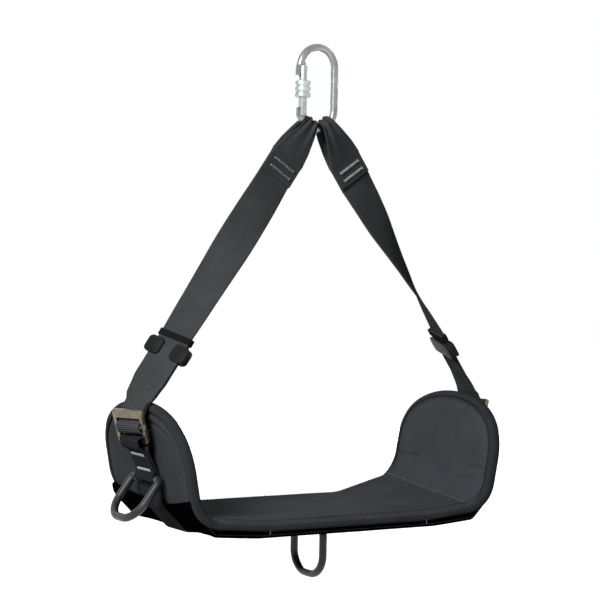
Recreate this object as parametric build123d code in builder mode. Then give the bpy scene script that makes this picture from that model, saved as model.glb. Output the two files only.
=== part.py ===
"""Bosun's chair: a padded work seat slung on two webbing straps from a screw-gate carabiner.

Millimetres, +Z up, +Y to the back of the seat. The gate is on the -X side of the carabiner.
The origin is the hang point, inside the carabiner's top bow. The slings lie in the plane y = 0.
"""

import os
from math import atan2, cos, hypot, radians, sin, sqrt, tan

from build123d import *

os.makedirs("parts", exist_ok=True)

# Carabiner: an oval of round steel rod
ROD_D = 9.2
BOW_R = 23.9  # centre line of the bows
SIDE_L = 49.8  # straight part between the bows
TANG_T = 4.0
TANG_EYE_R = 4.8
TANG_TIP_X = -29.4
TANG_TIP_Z = -30.5
NOSE_X = -27.5
NOSE_TOP_Z = -69.0
ROD_END_GAP = 0.35

# Gate, its pins, spring and sleeve
GATE_D = 10.0
GATE_X = -20.0
HINGE_Z = -22.5
LATCH_Z = -72.8
GATE_END_Z = -77.2
GATE_SLOT_CLEAR = 0.2
TOP_SLOT_END_Z = -31.0
LOW_SLOT_END_Z = -67.5
PIN_D = 3.0
PIN_CLEAR = 0.05
NOTCH_CLEAR = 0.3
SPRING_BORE_D = 4.6
SPRING_BORE_END_Z = -56.0
PLUNGER_D = 4.3
PLUNGER_TIP_D = 3.0
PLUNGER_L = 10.0
SPRING_WIRE_D = 0.6
SPRING_D = 3.9
SPRING_PITCH = 2.0
SLEEVE_D = 18.3
SLEEVE_L = 19.5
SLEEVE_TOP_Z = -36.0
SLEEVE_CLEAR = 0.08
SLEEVE_GROOVE_W = 1.6
SLEEVE_GROOVE_DEPTH = 1.1
SLEEVE_MOUTH_R = 7.9
SLEEVE_MOUTH_L = 8.0

# Webbing
WEB_W = 45.0
WEB_T = 2.4
LAYER_GAP = 0.3
SOFT_GAP = 0.3

# Straps, measured along the strap from the rod of the lower bow
EYE_X = 13.0
STRAP_SLOPE = 34.5  # degrees from vertical
EYE_INNER_W = 15.6
EYE_CROWN = 6.9
EYE_END = 76.0
EYE_NECK = 52.0
EYE_TACKS = (58.0, 68.0)
TACK_L = 31.0
TACK_W = 3.0
TACK_T = 0.9
TWIST_LEFT = ((78.0, 0.0), (200.0, 42.0), (298.0, 62.0), (362.0, 62.0), (382.0, 76.0))
TWIST_RIGHT = ((78.0, 0.0), (200.0, 46.0), (298.0, 74.0), (362.0, 74.0), (382.0, 80.0))
TAIL_TOP = 298.0
STRAIGHT_L = 64.0
BEND_L = 20.0  # from the straight part to the middle of the bend into the buckle
TAIL_OFFSET = 2.8
TAIL_SLACK = 0.5

# Keeper clip and elastic band
KEEPER_AT = 322.0
KEEPER_W = 60.0
KEEPER_H = 21.0
KEEPER_T = 2.6
LIP_L = 22.0
ELASTIC_W = 8.0
ELASTIC_T = 1.2
ELASTIC_AT = 304.0

# Buckle, in its own plane: u across, v up, n outwards from the lower bar's centre
BUCKLE_X = 236.0
BUCKLE_Z = -457.0
BUCKLE_TILT = 16.4
BUCKLE_YAW = 8.0
BUCKLE_W = 58.0
BUCKLE_T = 4.2
BUCKLE_TOP = 37.0
TOP_BAR_H = 10.0
LOW_BAR_H = 6.0
BUCKLE_SLOT_W = 46.6
BUCKLE_CORNER_R = 4.0
SLIDER_V = 17.0
SLIDER_D = 6.4
SLIDER_TAB_T = 2.2
SLIDER_TAB_H = 6.0
SLIDER_TRAVEL = 2.5
SLIDER_CLEAR = 0.1
LEAVE_ANGLE = 26.0  # between the buckle's plane and the webbing that leaves it upwards
LEAVE_L = 15.0

# Seat: a path in XZ, level in the middle, then rising, then up each wing. It rises more at the back
SEAT_Y = 12.0
SEAT_DEPTH = 208.0
SEAT_Z = -556.0  # under side of the pad
FLAT_HALF = 108.0
RISE_FRONT = 5.0
RISE_BACK = 15.0
WING_FOOT_X = 197.6  # where the plane of the wing would meet the level pad
WING_LEAN = 10.5
WING_TOP_Z = -413.0
KINK_R = 80.0
LEVEL_HALF = FLAT_HALF - 13.0  # the middle that is drawn as a plain block, short of the curves
FOOT_R_FRONT = 42.0
FOOT_R_BACK = 50.0
ARCH_START = 70.0  # how far below the wing's top its edges start to curve in
ARCH_REACH = 60.0
PAD_T = 10.5
COVER_T = 1.0
BINDING_W = 4.0
BINDING_LOW = -2.8  # from the pad's under side
BINDING_HIGH = 7.0
PANEL_T = 2.4
PANEL_BACK = 1.6
STIFFENER_T = 1.4
STIFFENER_INSET = 14.0
PANEL_LOW_Z = -520.0

# Seat board and the black cover that holds it
BOARD_L = 236.0
BOARD_INSET = 6.0  # from the seat's front and back edges
BOARD_T = 7.0
BOARD_CORNER_R = 18.0
BOARD_CLEAR = 0.3
BLACK_T = 1.0
BLACK_FLAT = 120.0
BLACK_HALF_L = 179.0
BLACK_RISE = 4.5  # how much higher its under side is at the wings
BLACK_SHOULDER_H = 25.0  # from the pad's under side up to where it turns along the wing
BLACK_INSET = 5.0
BLACK_WING_T = 5.2
BLACK_CORNER_R = 9.0
BLACK_FOOT_R = 20.0
BLACK_KINK_R = 60.0

# Gear loops
LOOP_HALF_W = 33.0
LOOP_DROP = 55.0
LOOP_TUBE_D = 9.3
LOOP_CORD_D = 5.0
LOOP_CORD_CLEAR = 0.2
LOOP_TUBE_START = 24.0
LOOP_CORNER_R = 7.0
LOOP_CURVE_L = 16.0  # from a side of the loop to the start of its rounded end
LOOP_CURVE_H = 15.0
LOOP_ABOVE_SEAT = 56.0  # the side loops' channels, above the under side of the pad
LOOP_SWING = 37.0  # how far out the side loops stand from hanging straight
CHANNEL_CLEAR = 0.3
TAB_HALF_L = 28.0
ANCHOR_TACKS = (8.5, 28.0)  # above the loop's channel, along the doubled webbing

SIDES = (("left", -1), ("right", 1))

TOP_C = ROD_D / 2 - BOW_R
LOW_C = TOP_C - SIDE_L
ROD_Z = LOW_C - sqrt(BOW_R**2 - EYE_X**2)  # centre of the rod where the strap eyes sit
BIG = 400.0


def finish(piece, node):
    """Names a finished piece and writes its file."""
    piece.part.label = node
    export_step(piece.part, f"parts/{node}.step")


def at(table, s):
    """A value between the entries of a table of (place, value) pairs."""
    if s <= table[0][0]:
        return table[0][1]
    for (s0, v0), (s1, v1) in zip(table, table[1:]):
        if s <= s1:
            return v0 + (v1 - v0) * (s - s0) / (s1 - s0)
    return table[-1][1]


def shifted(points, radii, distance):
    """A 2-D route moved to the left of its direction, with its corner radii."""
    ways = []
    for (x0, y0), (x1, y1) in zip(points, points[1:]):
        length = hypot(x1 - x0, y1 - y0)
        ways.append(((x1 - x0) / length, (y1 - y0) / length))
    route = []
    corners = []
    for i, (x, y) in enumerate(points):
        a = ways[max(i - 1, 0)]
        b = ways[min(i, len(ways) - 1)]
        turn = atan2(a[0] * b[1] - a[1] * b[0], a[0] * b[0] + a[1] * b[1])
        nx, ny = -(a[1] + b[1]), a[0] + b[0]
        k = distance / (cos(turn / 2) * hypot(nx, ny))
        route.append((x + nx * k, y + ny * k))
        if 0 < i < len(points) - 1:
            corners.append(radii[i - 1] - distance if turn > 0 else radii[i - 1] + distance)
    return route, corners


def ribbon(points, radii, low, high):
    """A face between two parallel copies of a route, for the sketch that is open."""
    route_a, corners_a = shifted(points, radii, low)
    route_b, corners_b = shifted(points, radii, high)
    with BuildLine() as edge:
        FilletPolyline(*route_a, radius=corners_a)
        FilletPolyline(*route_b, radius=corners_b)
        Line(route_a[0], route_b[0])
        Line(route_a[-1], route_b[-1])
    make_face(edge.edges())


# Directions of each sling
def strap_axes(side):
    """Down the strap, outwards across it, and to the back."""
    down = Vector(side * sin(radians(STRAP_SLOPE)), 0, -cos(radians(STRAP_SLOPE)))
    out = Vector(side * cos(radians(STRAP_SLOPE)), 0, sin(radians(STRAP_SLOPE)))
    return down, out, Vector(0, 1, 0)


def strap_plane(side, s, offset=0.0):
    """Plane across the strap: x along its width, y to its outer face."""
    down, out, back = strap_axes(side)
    turn = radians(at(TWIST_LEFT if side < 0 else TWIST_RIGHT, s))
    width = out * cos(turn) + back * sin(turn)
    face = out * sin(turn) - back * cos(turn)
    place = Vector(side * EYE_X, 0, ROD_Z) + down * s + face * offset
    return Plane(origin=place, x_dir=width, z_dir=down * side)


def buckle_axes(side):
    """Across, up and outwards in the buckle's own plane."""
    tilt, yaw = radians(BUCKLE_TILT), radians(BUCKLE_YAW)
    up = Vector(side * sin(tilt), 0, cos(tilt))
    out = Vector(side * cos(tilt), 0, -sin(tilt))
    back = Vector(0, 1, 0)
    return back * cos(yaw) + out * sin(yaw), up, out * cos(yaw) - back * sin(yaw)


def buckle_plane(side, v=0.0, n=0.0):
    """Plane of the buckle's side view: x outwards, y up."""
    across, up, out = buckle_axes(side)
    place = Vector(side * BUCKLE_X, 0, BUCKLE_Z) + up * v + out * n
    return Plane(origin=place, x_dir=out, z_dir=out.cross(up))


def buckle_face(side, n=0.0):
    """Plane of the buckle's front: x across, y up."""
    across, up, out = buckle_axes(side)
    place = Vector(side * BUCKLE_X, 0, BUCKLE_Z) + out * n
    return Plane(origin=place, x_dir=across * side, z_dir=(across * side).cross(up))


def wing_x(z, out=0.0):
    """Distance from the middle to the pad's outer face on a wing, moved outwards."""
    return WING_FOOT_X + (z - SEAT_Z) * tan(radians(WING_LEAN)) + out / cos(radians(WING_LEAN))


def seat_path(rise):
    """The pad's under side from wing to wing, where it rises at this angle beside the level part."""
    run = (WING_FOOT_X - FLAT_HALF) / (1 - tan(radians(rise)) * tan(radians(WING_LEAN)))
    foot = (FLAT_HALF + run, SEAT_Z + run * tan(radians(rise)))
    top = (wing_x(WING_TOP_Z + BINDING_W), WING_TOP_Z + BINDING_W)
    right = [(FLAT_HALF, SEAT_Z), foot, top]
    return [(-x, z) for x, z in reversed(right)] + right


LOOP_Z = SEAT_Z + LOOP_ABOVE_SEAT
# Front and back profiles, with their corner radii, and how far in front of and behind the seat they are drawn
PROFILES = (
    (-1, seat_path(RISE_FRONT), [FOOT_R_FRONT, KINK_R, KINK_R, FOOT_R_FRONT]),
    (1, seat_path(RISE_BACK), [FOOT_R_BACK, KINK_R, KINK_R, FOOT_R_BACK]),
)
SIDE_VIEW = Plane(origin=(-BIG, SEAT_Y, 0), x_dir=(0, 1, 0), z_dir=(1, 0, 0))


def seat_outline(inset):
    """The seat seen from the side, for the sketch that is open: straight edges under an arch."""
    half = SEAT_DEPTH / 2 - inset
    top = WING_TOP_Z - inset
    start = top - ARCH_START + inset / 2
    low = SEAT_Z - BIG / 4
    with BuildLine() as edge:
        Bezier((half, start), (half, start + ARCH_START * 0.66), (ARCH_REACH - inset / 2, top), (0, top))
        Bezier((0, top), (inset / 2 - ARCH_REACH, top), (-half, start + ARCH_START * 0.66), (-half, start))
        Line((-half, start), (-half, low))
        Line((-half, low), (half, low))
        Line((half, low), (half, start))
    make_face(edge.edges())


def seat_layer(low, high, inset):
    """A layer of the seat between two heights above the pad's under side, in the part that is open."""
    sections = []
    for end, route, radii in PROFILES:
        with BuildSketch(Plane.XZ.offset(-SEAT_Y - end * SEAT_DEPTH / 2)) as section:
            ribbon(route, radii, low, high)
        sections.append(section.sketch.face())
    loft(sections, ruled=True)
    # The level middle is a plain block, so that its faces are true planes
    with Locations((0, SEAT_Y, SEAT_Z)):
        Box(2 * LEVEL_HALF, SEAT_DEPTH, 4 * PAD_T, mode=Mode.SUBTRACT)
    with Locations((0, SEAT_Y, SEAT_Z + (low + high) / 2)):
        Box(2 * LEVEL_HALF, SEAT_DEPTH, high - low)
    with BuildSketch(SIDE_VIEW) as outline:
        seat_outline(inset)
    extrude(outline.sketch, amount=2 * BIG, mode=Mode.INTERSECT)


# Carabiner body
with BuildPart() as carabiner_body:
    with BuildLine(Plane.XZ) as rod_path:
        ThreePointArc((-BOW_R, TOP_C), (0, TOP_C + BOW_R), (BOW_R, TOP_C))
        Line((BOW_R, TOP_C), (BOW_R, LOW_C))
        ThreePointArc((BOW_R, LOW_C), (0, LOW_C - BOW_R), (-BOW_R, LOW_C))
    with BuildSketch(Plane(origin=rod_path.line @ 0, z_dir=rod_path.line % 0)):
        Circle(ROD_D / 2)
    sweep()
    rod_top_z = HINGE_Z + GATE_D / 2 + ROD_END_GAP
    rod_low_z = GATE_END_Z - 2 * ROD_END_GAP
    with BuildSketch(Plane.XZ):
        with Locations((GATE_X - GATE_D / 2, (rod_top_z + rod_low_z) / 2)):
            Rectangle(3 * GATE_D, rod_top_z - rod_low_z)
    extrude(amount=ROD_D, both=True, mode=Mode.SUBTRACT)
    with BuildSketch(Plane.XZ):
        with Locations((GATE_X, HINGE_Z)):
            Circle(TANG_EYE_R)
        with BuildLine():
            Polyline(
                (GATE_X + TANG_EYE_R / 2, rod_top_z + 3),
                (GATE_X + TANG_EYE_R / 2, HINGE_Z),
                (GATE_X, HINGE_Z - TANG_EYE_R),
                (GATE_X - GATE_D / 2, HINGE_Z - TANG_EYE_R),
                (GATE_X - GATE_D / 2 - 0.6, TANG_TIP_Z),
                (TANG_TIP_X, TANG_TIP_Z),
                (TANG_TIP_X, HINGE_Z),
                (-BOW_R - ROD_D / 2 + 0.6, rod_top_z + 3),
                close=True,
            )
        make_face()
        with BuildLine():
            Polyline(
                (GATE_X + GATE_D / 2 - 1.6, NOSE_TOP_Z),
                (GATE_X + GATE_D / 2 - 1.6, rod_low_z - 2),
                (GATE_X - 2, rod_low_z - 6),
                (-BOW_R - 1, rod_low_z - 4),
                (NOSE_X, GATE_END_Z),
                (NOSE_X, NOSE_TOP_Z + 1),
                (NOSE_X + 1, NOSE_TOP_Z),
                close=True,
            )
        make_face()
        with Locations((GATE_X, HINGE_Z)):
            Circle(PIN_D / 2, mode=Mode.SUBTRACT)
        with Locations((GATE_X, LATCH_Z)):
            Circle(PIN_D / 2 + NOTCH_CLEAR, mode=Mode.SUBTRACT)
        with Locations((GATE_X + GATE_D / 2, LATCH_Z)):
            Rectangle(GATE_D, PIN_D + 2 * NOTCH_CLEAR, mode=Mode.SUBTRACT)
    extrude(amount=TANG_T / 2, both=True)
finish(carabiner_body, "carabiner_body")

# Gate: a round bar forked at both ends and bored for its spring
with BuildPart() as carabiner_gate:
    with BuildSketch(Plane.XZ):
        with Locations((GATE_X, HINGE_Z)):
            Circle(GATE_D / 2)
        with Locations((GATE_X, (HINGE_Z + GATE_END_Z) / 2)):
            Rectangle(GATE_D, HINGE_Z - GATE_END_Z)
    extrude(amount=GATE_D, both=True)
    with BuildSketch(Plane.XY.offset(GATE_END_Z - 1)):
        with Locations((GATE_X, 0)):
            Circle(GATE_D / 2)
    extrude(amount=HINGE_Z - GATE_END_Z + GATE_D, mode=Mode.INTERSECT)
    slot_w = TANG_T + 2 * GATE_SLOT_CLEAR
    with BuildSketch(Plane.YZ.offset(GATE_X)):
        with Locations((0, TOP_SLOT_END_Z + GATE_D)):
            Rectangle(slot_w, 2 * GATE_D)
        with Locations((0, LOW_SLOT_END_Z - GATE_D)):
            Rectangle(slot_w, 2 * GATE_D)
    extrude(amount=GATE_D, both=True, mode=Mode.SUBTRACT)
    with BuildSketch(Plane.XY.offset(SPRING_BORE_END_Z)):
        with Locations((GATE_X, 0)):
            Circle(SPRING_BORE_D / 2)
    extrude(amount=TOP_SLOT_END_Z - SPRING_BORE_END_Z, mode=Mode.SUBTRACT)
    with BuildSketch(Plane.XZ):
        with Locations((GATE_X, HINGE_Z)):
            Circle(PIN_D / 2 + PIN_CLEAR)
        with Locations((GATE_X, LATCH_Z)):
            Circle(PIN_D / 2)
    extrude(amount=GATE_D, both=True, mode=Mode.SUBTRACT)
finish(carabiner_gate, "carabiner_gate")

for pin_name, pin_z in (("hinge_pin", HINGE_Z), ("latch_pin", LATCH_Z)):
    with BuildPart() as pin:
        with BuildSketch(Plane.XZ):
            with Locations((GATE_X, pin_z)):
                Circle(PIN_D / 2)
        extrude(amount=GATE_D / 2, both=True)
    finish(pin, pin_name)

# Plunger that the spring presses against the tang, and the spring under it
plunger_top = HINGE_Z - TANG_EYE_R - 0.2
plunger_low = TOP_SLOT_END_Z - PLUNGER_L
with BuildPart() as gate_plunger:
    with BuildSketch(Plane.XY.offset(plunger_low)):
        with Locations((GATE_X, 0)):
            Circle(PLUNGER_D / 2)
    extrude(amount=TOP_SLOT_END_Z - 0.3 - plunger_low)
    with BuildSketch(Plane.XY.offset(TOP_SLOT_END_Z - 0.3)):
        with Locations((GATE_X, 0)):
            Circle(PLUNGER_TIP_D / 2)
    extrude(amount=plunger_top - TOP_SLOT_END_Z + 0.3)
    fillet(gate_plunger.edges().sort_by(Axis.Z)[-1], PLUNGER_TIP_D / 3)
finish(gate_plunger, "gate_plunger")

with BuildPart() as gate_spring:
    spring_low = SPRING_BORE_END_Z + SPRING_WIRE_D / 2
    with BuildLine() as coil:
        Helix(
            pitch=SPRING_PITCH,
            height=plunger_low - SPRING_WIRE_D / 2 - spring_low,
            radius=(SPRING_D - SPRING_WIRE_D) / 2,
            center=(GATE_X, 0, spring_low),
        )
    with BuildSketch(Plane(origin=coil.line @ 0, z_dir=coil.line % 0)):
        Circle(SPRING_WIRE_D / 2)
    sweep(is_frenet=True)
finish(gate_spring, "gate_spring")

# Sleeve: three rings with two grooves, threaded part above, a wider mouth below for the nose
with BuildPart() as screw_sleeve:
    ring_l = (SLEEVE_L - 2 * SLEEVE_GROOVE_W) / 3
    with BuildSketch(Plane.XY.offset(SLEEVE_TOP_Z - SLEEVE_L)):
        with Locations((GATE_X, 0)):
            Circle(SLEEVE_D / 2)
    extrude(amount=SLEEVE_L)
    for groove_i in (1, 2):
        groove_z = SLEEVE_TOP_Z - groove_i * ring_l - (groove_i - 0.5) * SLEEVE_GROOVE_W
        with BuildSketch(Plane.XY.offset(groove_z - SLEEVE_GROOVE_W / 2)):
            with Locations((GATE_X, 0)):
                Circle(SLEEVE_D)
                Circle(SLEEVE_D / 2 - SLEEVE_GROOVE_DEPTH, mode=Mode.SUBTRACT)
        extrude(amount=SLEEVE_GROOVE_W, mode=Mode.SUBTRACT)
    outer_edges = screw_sleeve.edges().filter_by(GeomType.CIRCLE)
    chamfer([e for e in outer_edges if abs(e.radius - SLEEVE_D / 2) < 0.01], 0.6)
    with BuildSketch(Plane.XY.offset(SLEEVE_TOP_Z - SLEEVE_L)):
        with Locations((GATE_X, 0)):
            Circle(GATE_D / 2 + SLEEVE_CLEAR)
    extrude(amount=SLEEVE_L, mode=Mode.SUBTRACT)
    with BuildSketch(Plane.XY.offset(SLEEVE_TOP_Z - SLEEVE_L)):
        with Locations((GATE_X, 0)):
            Circle(SLEEVE_MOUTH_R)
    extrude(amount=SLEEVE_MOUTH_L, mode=Mode.SUBTRACT)
finish(screw_sleeve, "screw_sleeve")

# Straps: an eye round the bow, a twisted run, a wrap round the sliding bar, and a tail
slider_reach = SLIDER_D / 2 + LAYER_GAP + WEB_T / 2
wrap_low = SLIDER_V - slider_reach - SLIDER_TRAVEL
leave_n, leave_v = -sin(radians(LEAVE_ANGLE)), cos(radians(LEAVE_ANGLE))
# Where the run clears the top bar's lower corner, and where the tail turns beside it
run_n, run_v = -BUCKLE_T / 2 + 0.2, SLIDER_V + 6
tail_n, tail_v = run_n - leave_v * TAIL_OFFSET, run_v + leave_n * TAIL_OFFSET
run_end = (run_n + leave_n * LEAVE_L, run_v + leave_v * LEAVE_L)
tail_end = (tail_n + leave_n * LEAVE_L, tail_v + leave_v * LEAVE_L)
WRAP_ROUTE = [
    run_end,
    (run_n, run_v),
    (slider_reach, SLIDER_V + 3.2),
    (slider_reach, wrap_low),
    (-slider_reach, wrap_low),
    (-slider_reach, tail_v + (slider_reach + tail_n) * leave_v / -leave_n),
    tail_end,
]
WRAP_RADII = [3.0, 4.0, slider_reach - 0.1, slider_reach - 0.1, 4.0]
eye_half = EYE_INNER_W / 2 + WEB_T / 2
eye_top = EYE_CROWN + WEB_T / 2
eye_leg = (WEB_T + LAYER_GAP) / 2
EYE_ROUTE = [
    (eye_leg, -80),
    (eye_leg, -EYE_NECK),
    (eye_half, -12),
    (eye_half, eye_top),
    (-eye_half, eye_top),
    (-eye_half, -12),
    (-eye_leg, -EYE_NECK),
    (-eye_leg, -EYE_END),
]
EYE_RADII = [25.0, 25.0, 6.5, 6.5, 25.0, 25.0]
# Half widths of the gathered eye, from its crown down to full width
EYE_SHAPE = ((7.5, 12), (8.5, 5), (10.0, 0), (15.0, -14), (WEB_W / 2, -46), (WEB_W / 2, -90))
RUN_STOPS = (78, 100, 125, 150, 175, 200, 225, 250, 275, TAIL_TOP)
BEND_START = TAIL_TOP + STRAIGHT_L
BEND_MIDDLE = BEND_START + BEND_L

for side_name, side in SIDES:
    down, out, back = strap_axes(side)
    eye_plane = Plane(origin=(side * EYE_X, 0, ROD_Z), x_dir=back, z_dir=back.cross(-down))
    shape_plane = Plane(origin=(side * EYE_X, 0, ROD_Z), x_dir=out, z_dir=out.cross(-down))
    across, up, face = buckle_axes(side)
    away = face * leave_n + up * leave_v
    run_join = buckle_plane(side, run_end[1], run_end[0]).origin
    tail_join = buckle_plane(side, tail_end[1], tail_end[0]).origin
    with BuildPart() as strap:
        with BuildSketch(eye_plane):
            ribbon(EYE_ROUTE, EYE_RADII, -WEB_T / 2, WEB_T / 2)
        extrude(amount=WEB_W / 2, both=True)
        with BuildSketch(shape_plane):
            with BuildLine():
                Polyline(*EYE_SHAPE, *[(-a, b) for a, b in reversed(EYE_SHAPE)], close=True)
            make_face()
        extrude(amount=WEB_W, both=True, mode=Mode.INTERSECT)
        for s in RUN_STOPS:
            with BuildSketch(strap_plane(side, s, -eye_leg * max(0.0, 1 - (s - 78) / 30))):
                Rectangle(WEB_W, WEB_T)
        loft()
        with BuildSketch(strap_plane(side, TAIL_TOP)):
            Rectangle(WEB_W, WEB_T)
        with BuildSketch(strap_plane(side, TAIL_TOP, -TAIL_OFFSET)):
            Rectangle(WEB_W, WEB_T)
        extrude(amount=side * STRAIGHT_L)
        for offset, slack, join in ((0.0, 0.0, run_join), (-TAIL_OFFSET, -TAIL_SLACK, tail_join)):
            with BuildSketch(strap_plane(side, BEND_START, offset)):
                Rectangle(WEB_W, WEB_T)
            with BuildSketch(strap_plane(side, BEND_MIDDLE, offset + slack)):
                Rectangle(WEB_W, WEB_T)
            with BuildSketch(Plane(origin=join, x_dir=across, z_dir=-away * side)):
                Rectangle(WEB_W, WEB_T)
            loft()
        with BuildSketch(buckle_plane(side)):
            ribbon(WRAP_ROUTE, WRAP_RADII, -WEB_T / 2, WEB_T / 2)
        extrude(amount=WEB_W / 2, both=True)
    finish(strap, f"strap_{side_name}")

    # Bar tacks that close the eye, on its front layer
    with BuildPart() as eye_tacks:
        eye_front = eye_plane.origin - back * (eye_leg + WEB_T / 2)
        with BuildSketch(Plane(origin=eye_front, x_dir=out, z_dir=-back)):
            for tack_s in EYE_TACKS:
                with Locations((0, -side * tack_s)):
                    SlotOverall(TACK_L, TACK_W)
        extrude(amount=TACK_T)
    finish(eye_tacks, f"eye_tacks_{side_name}")

    # Keeper clip: a plate behind both layers with a lip round each edge
    plate_n = -TAIL_OFFSET - WEB_T / 2 - SOFT_GAP
    lip_n = WEB_T / 2 + SOFT_GAP
    with BuildPart() as keeper_clip:
        with BuildSketch(strap_plane(side, KEEPER_AT - KEEPER_H / 2)):
            with Locations((0, (plate_n + lip_n) / 2)):
                RectangleRounded(KEEPER_W, lip_n - plate_n + 2 * KEEPER_T, KEEPER_T)
                Rectangle(WEB_W + 4 * SOFT_GAP, lip_n - plate_n, mode=Mode.SUBTRACT)
            with Locations((0, lip_n + KEEPER_T / 2)):
                Rectangle(KEEPER_W - 2 * LIP_L, KEEPER_T + 0.2, mode=Mode.SUBTRACT)
        extrude(amount=side * KEEPER_H)
    finish(keeper_clip, f"keeper_clip_{side_name}")

    with BuildPart() as keeper_elastic:
        with BuildSketch(strap_plane(side, ELASTIC_AT - ELASTIC_W / 2)):
            with Locations((0, (plate_n + lip_n) / 2)):
                Rectangle(WEB_W + 4 * SOFT_GAP + 2 * ELASTIC_T, lip_n - plate_n + 2 * ELASTIC_T)
                Rectangle(WEB_W + 4 * SOFT_GAP, lip_n - plate_n, mode=Mode.SUBTRACT)
        extrude(amount=side * ELASTIC_W)
    finish(keeper_elastic, f"keeper_elastic_{side_name}")

    # Buckle frame: top bar, arms with slots for the sliding bar, lower bar
    with BuildPart() as buckle_frame:
        with BuildSketch(buckle_face(side, -BUCKLE_T / 2)):
            with Locations((0, (BUCKLE_TOP - LOW_BAR_H / 2) / 2)):
                RectangleRounded(BUCKLE_W, BUCKLE_TOP + LOW_BAR_H / 2, BUCKLE_CORNER_R)
            with Locations((0, (BUCKLE_TOP - TOP_BAR_H + LOW_BAR_H / 2) / 2)):
                Rectangle(BUCKLE_SLOT_W, BUCKLE_TOP - TOP_BAR_H - LOW_BAR_H / 2, mode=Mode.SUBTRACT)
        extrude(amount=BUCKLE_T)
        slot_h = SLIDER_TAB_H + SLIDER_TRAVEL + 2 * SLIDER_CLEAR
        with BuildSketch(buckle_plane(side)):
            with Locations((0, SLIDER_V - SLIDER_TRAVEL / 2)):
                Rectangle(SLIDER_TAB_T + 2 * SLIDER_CLEAR, slot_h)
        extrude(amount=BUCKLE_W, both=True, mode=Mode.SUBTRACT)
    finish(buckle_frame, f"buckle_frame_{side_name}")

    with BuildPart() as buckle_slider:
        with BuildSketch(buckle_plane(side)):
            with Locations((0, SLIDER_V)):
                Circle(SLIDER_D / 2)
        extrude(amount=BUCKLE_SLOT_W / 2 - 0.3, both=True)
        with BuildSketch(buckle_plane(side)):
            with Locations((0, SLIDER_V)):
                Rectangle(SLIDER_TAB_T, SLIDER_TAB_H)
        extrude(amount=BUCKLE_W / 2 + 1.2, both=True)
    finish(buckle_slider, f"buckle_slider_{side_name}")

# Under side of the black cover, from wing to wing
board_top = SEAT_Z - BLACK_T
black_low = board_top - BOARD_T - BLACK_T
black_end = PANEL_LOW_Z - 0.5
shoulder_z = SEAT_Z + BLACK_SHOULDER_H
black_right = [
    (BLACK_FLAT, black_low),
    (BLACK_HALF_L, black_low + BLACK_RISE),
    (wing_x(shoulder_z, BLACK_WING_T), shoulder_z),
    (wing_x(black_end, BLACK_WING_T), black_end),
]
BLACK_ROUTE = [(-x, z) for x, z in reversed(black_right)] + black_right
black_radii_right = [BLACK_KINK_R, BLACK_CORNER_R, BLACK_FOOT_R]
BLACK_RADII = black_radii_right[::-1] + black_radii_right

# Anchor webbing: one strap under the seat, folded round each buckle's lower bar and each side loop's cord
web_off = SOFT_GAP + WEB_T / 2
main_out = BLACK_WING_T + web_off
half_pair = (WEB_T + LAYER_GAP) / 2
channel_r = LOOP_CORD_D / 2 + CHANNEL_CLEAR + WEB_T / 2
loop_out = main_out + channel_r
fold_half = BUCKLE_T / 2 + WEB_W / 2 * tan(radians(BUCKLE_YAW)) + LAYER_GAP + WEB_T / 2
fold_top = LOW_BAR_H / 2 + 2 * LAYER_GAP + WEB_T / 2


def by_buckle(n, v):
    """A point near the right buckle in XZ, before the buckle's yaw."""
    tilt = radians(BUCKLE_TILT)
    return BUCKLE_X + n * cos(tilt) + v * sin(tilt), BUCKLE_Z - n * sin(tilt) + v * cos(tilt)


# The doubled part runs straight from the buckle's lower bar to the wing
web_foot = (wing_x(LOOP_Z + 3, main_out + half_pair), LOOP_Z + 3)
web_slope = atan2(BUCKLE_X - web_foot[0], BUCKLE_Z - web_foot[1])


def by_pair(off, along):
    """A point beside the doubled part in XZ: outwards from its middle, and up from the wing."""
    x = web_foot[0] + along * sin(web_slope) + off * cos(web_slope)
    return x, web_foot[1] + along * cos(web_slope) - off * sin(web_slope)


pair_l = hypot(BUCKLE_X - web_foot[0], BUCKLE_Z - web_foot[1])
under_route, under_radii = shifted(BLACK_ROUTE, BLACK_RADII, -web_off)
loop_x = wing_x(LOOP_Z, loop_out)
rising = [
    by_pair(-half_pair, 0),
    by_pair(-half_pair, pair_l - 12),
    by_buckle(-fold_half, -5),
    by_buckle(-fold_half, fold_top),
    by_buckle(fold_half, fold_top),
    by_buckle(fold_half, -5),
    by_pair(half_pair, pair_l - 13),
    by_pair(half_pair, 5),
    (loop_x + channel_r, LOOP_Z + 3.5),
    (loop_x + channel_r, LOOP_Z - channel_r),
    (loop_x - 1, LOOP_Z - channel_r),
]
rising_radii = [20.0, 5.0, 3.0, 2.2, 2.2, 3.0, 5.0, 3.0, 3.0, channel_r - 0.1]
falling = [(-x, z) for x, z in reversed(rising)]
with BuildPart() as anchor_webbing:
    with BuildSketch(Plane.XZ):
        ribbon(
            falling + under_route[1:-1] + rising,
            rising_radii[::-1] + under_radii + rising_radii,
            -WEB_T / 2,
            WEB_T / 2,
        )
    extrude(amount=WEB_W / 2, both=True)
finish(anchor_webbing, "anchor_webbing")

for side_name, side in SIDES:
    tack_x, tack_z = by_pair(half_pair + WEB_T / 2, 0)
    outward = Vector(side * cos(web_slope), 0, -sin(web_slope))
    with BuildPart() as anchor_tacks:
        with BuildSketch(Plane(origin=(side * tack_x, 0, tack_z), x_dir=(0, side, 0), z_dir=outward)):
            with Locations(*[(0, up) for up in ANCHOR_TACKS]):
                SlotOverall(TACK_L, TACK_W)
        extrude(amount=TACK_T)
    finish(anchor_tacks, f"anchor_tacks_{side_name}")

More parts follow.
